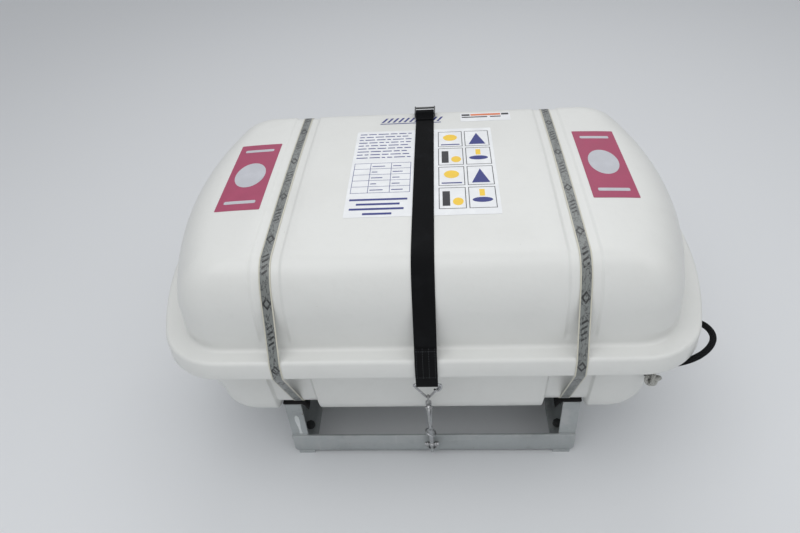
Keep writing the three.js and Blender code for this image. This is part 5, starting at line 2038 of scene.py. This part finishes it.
def rounded(x0: float, x1: float, y0: float, y1: float, r: float) -> List[Point2]:
    """Outline of a box with round corners."""
    corners = ((x1 - r, y0 + r, -90), (x1 - r, y1 - r, 0), (x0 + r, y1 - r, 90), (x0 + r, y0 + r, 180))
    return [p for cx, cy, start in corners for p in arc(cx, cy, r, start, start + 90.0, 4)]


def disc(x: float, y: float, rx: float, ry: float, steps: int = 24) -> List[Point2]:
    """Outline of an ellipse."""
    turns = [math.tau * i / steps for i in range(steps)]
    return [(x + rx * math.cos(a), y + ry * math.sin(a)) for a in turns]


@dataclass
class Labels:
    """Vinyl sheets on the dome, with plain fields and shapes in place of print."""

    shell: Object
    finishes: Finishes
    above: float = 640.0
    skin: float = 0.12
    sheet_lift: float = 0.25
    print_lift: float = 0.42
    hatch_lift: float = 0.3
    line_pitch: float = 13.0
    table_pitch: float = 21.6

    def drape(self, obj: Object, lift: float) -> None:
        """Lower a flat sheet on to the dome and give it a little thickness.

        Args:
            obj: the flat sheet.
            lift: its height over the gelcoat.
        """
        modifier = obj.modifiers.new("lie", "SHRINKWRAP")
        modifier.target = self.shell
        modifier.wrap_method = "PROJECT"
        modifier.use_project_z = True
        modifier.use_negative_direction = True
        modifier.use_positive_direction = False
        modifier.offset = lift * MM
        skin = obj.modifiers.new("skin", "SOLIDIFY")
        skin.thickness = self.skin * MM
        skin.offset = 1.0
        apply_modifiers(obj)
        smooth(obj, 40.0)

    def sheet(self, name: str, outline: Sequence[Point2], lift: float, material: Material, grid: float = 9.0) -> Object:
        """Cut a sheet to an outline seen from above and lay it on the dome.

        Args:
            name: the piece name.
            outline: its corners in plan, anticlockwise.
            lift: height over the gelcoat.
            material: its finish.
            grid: spacing of the cuts that let it follow the dome.
        Returns:
            The draped sheet.
        """
        mesh = bmesh.new()
        mesh.faces.new([mesh.verts.new((x * MM, y * MM, self.above * MM)) for x, y in outline])
        for axis in (0, 1):
            low, high = min(p[axis] for p in outline), max(p[axis] for p in outline)
            for i in range(1, max(int((high - low) / grid), 1)):
                at, normal = [0.0, 0.0, self.above * MM], [0.0, 0.0, 0.0]
                at[axis], normal[axis] = (low + grid * i) * MM, 1.0
                everything = mesh.verts[:] + mesh.edges[:] + mesh.faces[:]
                bmesh.ops.bisect_plane(mesh, geom=everything, plane_co=at, plane_no=normal, dist=1e-7)
        mesh.normal_update()
        for f in mesh.faces:
            if f.normal.z < 0:
                f.normal_flip()
        data = bpy.data.meshes.new(name)
        mesh.to_mesh(data)
        mesh.free()
        obj = add_object(name, data)
        self.drape(obj, lift)
        dress(done(obj, name), material)
        return obj

    def joined(self, name: str, parts: Sequence[Shape], lift: float) -> None:
        """Lay several printed shapes and join them into one piece.

        Args:
            name: the piece name.
            parts: outline and finish of each shape.
            lift: their height over the gelcoat.
        """
        objects = [self.sheet(f"{name}_{i}", outline, lift, ink, 22.0) for i, (outline, ink) in enumerate(parts)]
        deselect()
        for obj in objects:
            obj.select_set(True)
        bpy.context.view_layer.objects.active = objects[0]
        bpy.ops.object.join()
        settle(done(objects[0], name), None)

    def sticker(self, name: str, x0: float, x1: float, y0: float, y1: float) -> None:
        """Stick on a crimson sticker with a pale oval between two pale bars.

        Args:
            name: the piece name.
            x0: its left edge.
            x1: its right edge.
            y0: its front edge.
            y1: its rear edge.
        """
        settle(self.sheet(name, rounded(x0, x1, y0, y1, 2.0), self.sheet_lift, self.finishes.crimson), None)
        middle, half = (x0 + x1) / 2.0, (x1 - x0) / 2.0 - 13.0
        outlines = [disc(middle, (y0 + y1) / 2.0, half, 46.0, 40)]
        outlines += [rounded(middle - half, middle + half, y, y + 10.0, 3.0) for y in (y0 + 22.0, y1 - 32.0)]
        self.joined(f"{name}_shapes", [(outline, self.finishes.grey_panel) for outline in outlines], self.print_lift)

    def notice_rows(self) -> List[Shape]:
        """Draw the notice's left half: rows of dashes, an empty table and four bars.

        Returns:
            The shapes in navy.
        """
        rng = random.Random(11)
        outlines = []
        for row in range(9):
            y, x = 158.0 - row * self.line_pitch, -140.0
            while x < -34.0:
                size = rng.uniform(7.0, 24.0)
                outlines.append(box(x, min(x + size, -28.0), y - 3.2, y))
                x += size + 4.0
        outlines += [box(x, x + 1.0, -78.0, 30.0) for x in (-141.0, -108.0, -66.0, -27.0)]
        lines = [30.0 - row * self.table_pitch for row in range(6)]
        outlines += [box(-141.0, -26.0, y - 1.0, y) for y in lines]
        for y in lines[:5]:
            for x in (-104.0, -62.0):
                outlines.append(box(x, x + rng.uniform(10.0, 26.0), y - 14.0, y - 11.4))
        for row, (x0, x1) in enumerate(((-140.0, -30.0), (-126.0, -44.0), (-138.0, -36.0), (-112.0, -58.0))):
            outlines.append(box(x0, x1, -104.0 - row * 15.0, -98.0 - row * 15.0))
        return [(outline, self.finishes.navy) for outline in outlines]

    def notice_frames(self) -> List[Shape]:
        """Draw the notice's right half: eight frames, each with plain shapes.

        Returns:
            The shapes with their colours.
        """
        f = self.finishes
        parts: List[Shape] = []
        for i in range(8):
            x0, y0 = 29.0 + (i % 2) * 56.0, 88.0 - (i // 2) * 75.0
            x1, y1, pen = x0 + 51.0, y0 + 68.0, 1.4
            level = ((x0, x1, y0, y0 + pen), (x0, x1, y1 - pen, y1))
            upright = ((x0, x0 + pen, y0, y1), (x1 - pen, x1, y0, y1))
            parts += [(box(*edge), f.black) for edge in level + upright]
            mid = (x0 + x1) / 2.0
            parts += (
                [
                    (disc(mid, y0 + 40.0, 15.0, 14.0), f.yellow),
                    (box(x0 + 6.0, x1 - 6.0, y0 + 7.0, y0 + 11.0), f.navy),
                ],
                [([(x0 + 8.0, y0 + 8.0), (x1 - 8.0, y0 + 8.0), (mid, y0 + 58.0)], f.navy)],
                [
                    (box(x0 + 7.0, x0 + 21.0, y0 + 9.0, y0 + 56.0), f.black),
                    (disc(x1 - 15.0, y0 + 22.0, 10.0, 12.0), f.yellow),
                ],
                [
                    (disc(mid, y0 + 26.0, 19.0, 8.0), f.navy),
                    (box(mid - 5.0, mid + 5.0, y0 + 38.0, y0 + 60.0), f.yellow),
                ],
            )[i % 4]
        return parts

    def build(self) -> None:
        """Stick all the labels on."""
        f = self.finishes
        self.sticker("sticker_left", -399.0, -310.5, -118.0, 133.0)
        self.sticker("sticker_right", 312.0, 397.0, -113.0, 140.0)
        notice = self.sheet("notice_sheet", rounded(-147.0, 143.0, -156.0, 170.0, 3.0), self.sheet_lift, f.paper, 14.0)
        settle(notice, None)
        self.joined("notice_print", self.notice_rows() + self.notice_frames(), self.print_lift)
        starts = [-98.0 + i * 12.4 for i in range(11)]
        hatch = [[(x, 214.0), (x + 5.0, 214.0), (x + 15.0, 236.0), (x + 10.0, 236.0)] for x in starts]
        hatch.append(box(-100.0, 36.0, 206.0, 209.0))
        self.joined("hatched_print", [(outline, f.navy) for outline in hatch], self.hatch_lift)
        small = self.sheet("small_label", rounded(80.0, 191.0, 205.0, 248.0, 2.0), self.sheet_lift, f.paper)
        settle(small, None)
        bars = [
            (box(103.0, 170.0, 234.0, 243.0), f.orange),
            (box(83.0, 101.0, 234.0, 243.0), f.black),
            (box(172.0, 188.0, 234.0, 243.0), f.black),
            (box(83.0, 140.0, 224.0, 229.0), f.black),
            (box(146.0, 170.0, 224.0, 229.0), f.black),
        ]
        self.joined("small_label_print", bars, self.print_lift)


# Ropes


@dataclass
class Ropes:
    """Rope handles at two corners, and the painter with its stopper knot."""

    shells: Shells
    finishes: Finishes
    handle_radius: float = 6.0
    handle_drop: float = 8.5
    handle_angles: Point2 = (-14.0, -68.0)
    handle_hole: float = 58.0
    handle_route: Tuple[Point3, ...] = ((32, 147, -7), (14, 128, -3), (12, 96, 0), (34, 64, 0), (74, 42, -3))
    hole_room: float = 0.8
    painter_radius: float = 4.0
    outlet_radius: float = 10.0
    coil_end: Point3 = (211.6, -190.0, 371.0)
    knot_drop: Point3 = (-2.0, 0.0, -5.0)
    knot_rope: float = 3.9
    knot_reach: float = 8.6
    knot_swing: float = 3.8
    knot_depth: float = 6.8

    def handle_spots(self) -> List[Tuple[Vector, Vector]]:
        """Where the right handle goes into the tub."""
        return [self.shells.corner_spot(angle, self.handle_hole) for angle in self.handle_angles]

    def outlet(self) -> Tuple[Vector, Vector]:
        """Where the painter comes out."""
        return self.shells.corner_spot(-60.0, 100.0)

    def holes(self) -> List[Tuple[Vector, Vector, float]]:
        """List the holes in the tub.

        Returns:
            Centre, direction and radius of each.
        """
        out = [(*self.outlet(), self.outlet_radius)]
        for spot, away in self.handle_spots():
            radius = self.handle_radius + self.hole_room
            out += [(spot, away, radius), (mirrored(spot), mirrored(away), radius)]
        return out

    @staticmethod
    def tube(name: str, points: Sequence[Vector], radius: float, closed: bool = False) -> Object:
        """Sweep a round rope along points.

        Args:
            name: the piece name.
            points: the rope's centre line.
            radius: its radius.
            closed: whether it runs back into itself.
        Returns:
            The rope, whose UV runs along and round it.
        """
        count = len(points)
        rows = count if closed else count - 1
        tangents = []
        for i in range(count):
            before, after = ((i - 1) % count, (i + 1) % count) if closed else (max(i - 1, 0), min(i + 1, count - 1))
            tangents.append((points[after] - points[before]).normalized())
        side = tangents[0].orthogonal().normalized()
        sides = []
        for tangent in tangents:
            side = (side - tangent * side.dot(tangent)).normalized()
            sides.append(side.copy())

        def place(u: float, v: float) -> Vector:
            """A point round the rope at a row.

            Args:
                u: share of the way in the grid's first direction.
                v: share of the way in its second direction.
            Returns:
                The point.
            """
            i, a = round(u * rows) % count, math.tau * v
            across = tangents[i].cross(sides[i])
            return points[i] + sides[i] * (radius * math.cos(a)) + across * (radius * math.sin(a))

        obj = shaped_grid(name, rows, 16, place, 60.0)
        if not closed:
            cap_ends(obj)
        return obj

    def handle_path(self, left: bool) -> List[Vector]:
        """Lead a handle from hole to hole.

        Args:
            left: whether it is the one at the left rear corner.
        Returns:
            Its centre line.
        """
        (a, an), (b, bn) = self.handle_spots()
        out, front = self.shells.flange_length / 2, self.shells.flange_depth / 2
        z = self.shells.shelf - self.shells.skirt - self.handle_drop
        route = [a + an * d for d in (-10.0, 0.0, 10.0)]
        route += [Vector((out - dx, dy - front, z + dz)) for dx, dy, dz in self.handle_route]
        route += [b + bn * d for d in (10.0, 0.0, -10.0)]
        path = curve_through([mirrored(p) for p in route] if left else route, 90)
        for _ in range(20):
            path[4:-4] = [path[i] * 0.5 + (path[i - 1] + path[i + 1]) * 0.25 for i in range(4, len(path) - 4)]
        return path

    def handles(self) -> None:
        for label, left in (("right", False), ("left", True)):
            path = self.handle_path(left)
            rope = self.tube(f"handle_rope_{label}", path, self.handle_radius)
            settle(rope, self.finishes.black_rope, [f"rope_handle_{label}"])
            sum((b - a).length for a, b in zip(path, path[1:])) * MM

    def knot(self, centre: Vector, normal: Vector) -> Object:
        """Wind the stopper knot.

        Args:
            centre: its middle.
            normal: the painter's direction through it.
        Returns:
            The knot, a rope that winds into itself.
        """
        side = normal.orthogonal().normalized()
        across = normal.cross(side)
        loop = []
        for i in range(120):
            t = math.tau * i / 120.0
            r = self.knot_reach + self.knot_swing * math.cos(3.0 * t)
            level = side * (r * math.cos(2.0 * t)) + across * (r * math.sin(2.0 * t))
            loop.append(centre + level + normal * (self.knot_depth * math.sin(3.0 * t)))
        return settle(
            self.tube("stopper_knot", loop, self.knot_rope, closed=True), self.finishes.white_rope,
            ["painter_knot"],
        )

    def painter(self) -> None:
        point, normal = self.outlet()
        coil = Vector(self.coil_end)
        route = [coil + Vector(step) for step in ((0.3, 0.0, 0.0), (20.0, 0.0, 0.0), (90.0, -25.0, -20.0))]
        route += [point - normal * 60.0 + Vector((0.0, 0.0, 14.0))]
        route += [point + normal * d for d in (-28.0, -12.0, 3.4)]
        path = curve_through(route, 80)
        line = self.tube("painter_rope", path, self.painter_radius)
        settle(line, self.finishes.white_rope, ["painter_line"])
        knot = self.knot(point + normal * 15.7 + Vector(self.knot_drop), normal)
        soften("painter_grommet", "outlet_grommet", 0.5, self.finishes.rubber)
        sum((b - a).length for a, b in zip(path, path[1:])) * MM


def dress_inside(finishes: Finishes) -> None:
    """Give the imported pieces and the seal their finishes.

    Args:
        finishes: the canister's finishes.
    """
    for node, material in (
        ("packed_raft", finishes.raft),
        ("emergency_pack", finishes.bag),
        ("gas_cylinder", finishes.bottle),
        ("operating_head", finishes.zinc),
        ("painter_coil", finishes.white_rope),
        ("shell_seal", finishes.rubber),
    ):
        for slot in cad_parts[node].material_slots:
            slot.material = material


def main() -> None:
    """Build the whole scene in order."""
    Stage().build()
    finishes = Finishes()
    shells = Shells(finishes)
    ropes = Ropes(shells, finishes)
    ropes.handles()
    ropes.painter()
    dome = shells.upper()
    shells.lower(ropes.holes())
    Bands(shells, finishes).build()
    lashing = Lashing(shells, finishes)
    lashing.build()
    Fittings(lashing, finishes).build()
    Cradle(finishes).build()
    Labels(dome, finishes).build()
    dress_inside(finishes)
    deselect()


if __name__ == "__main__":
    main()
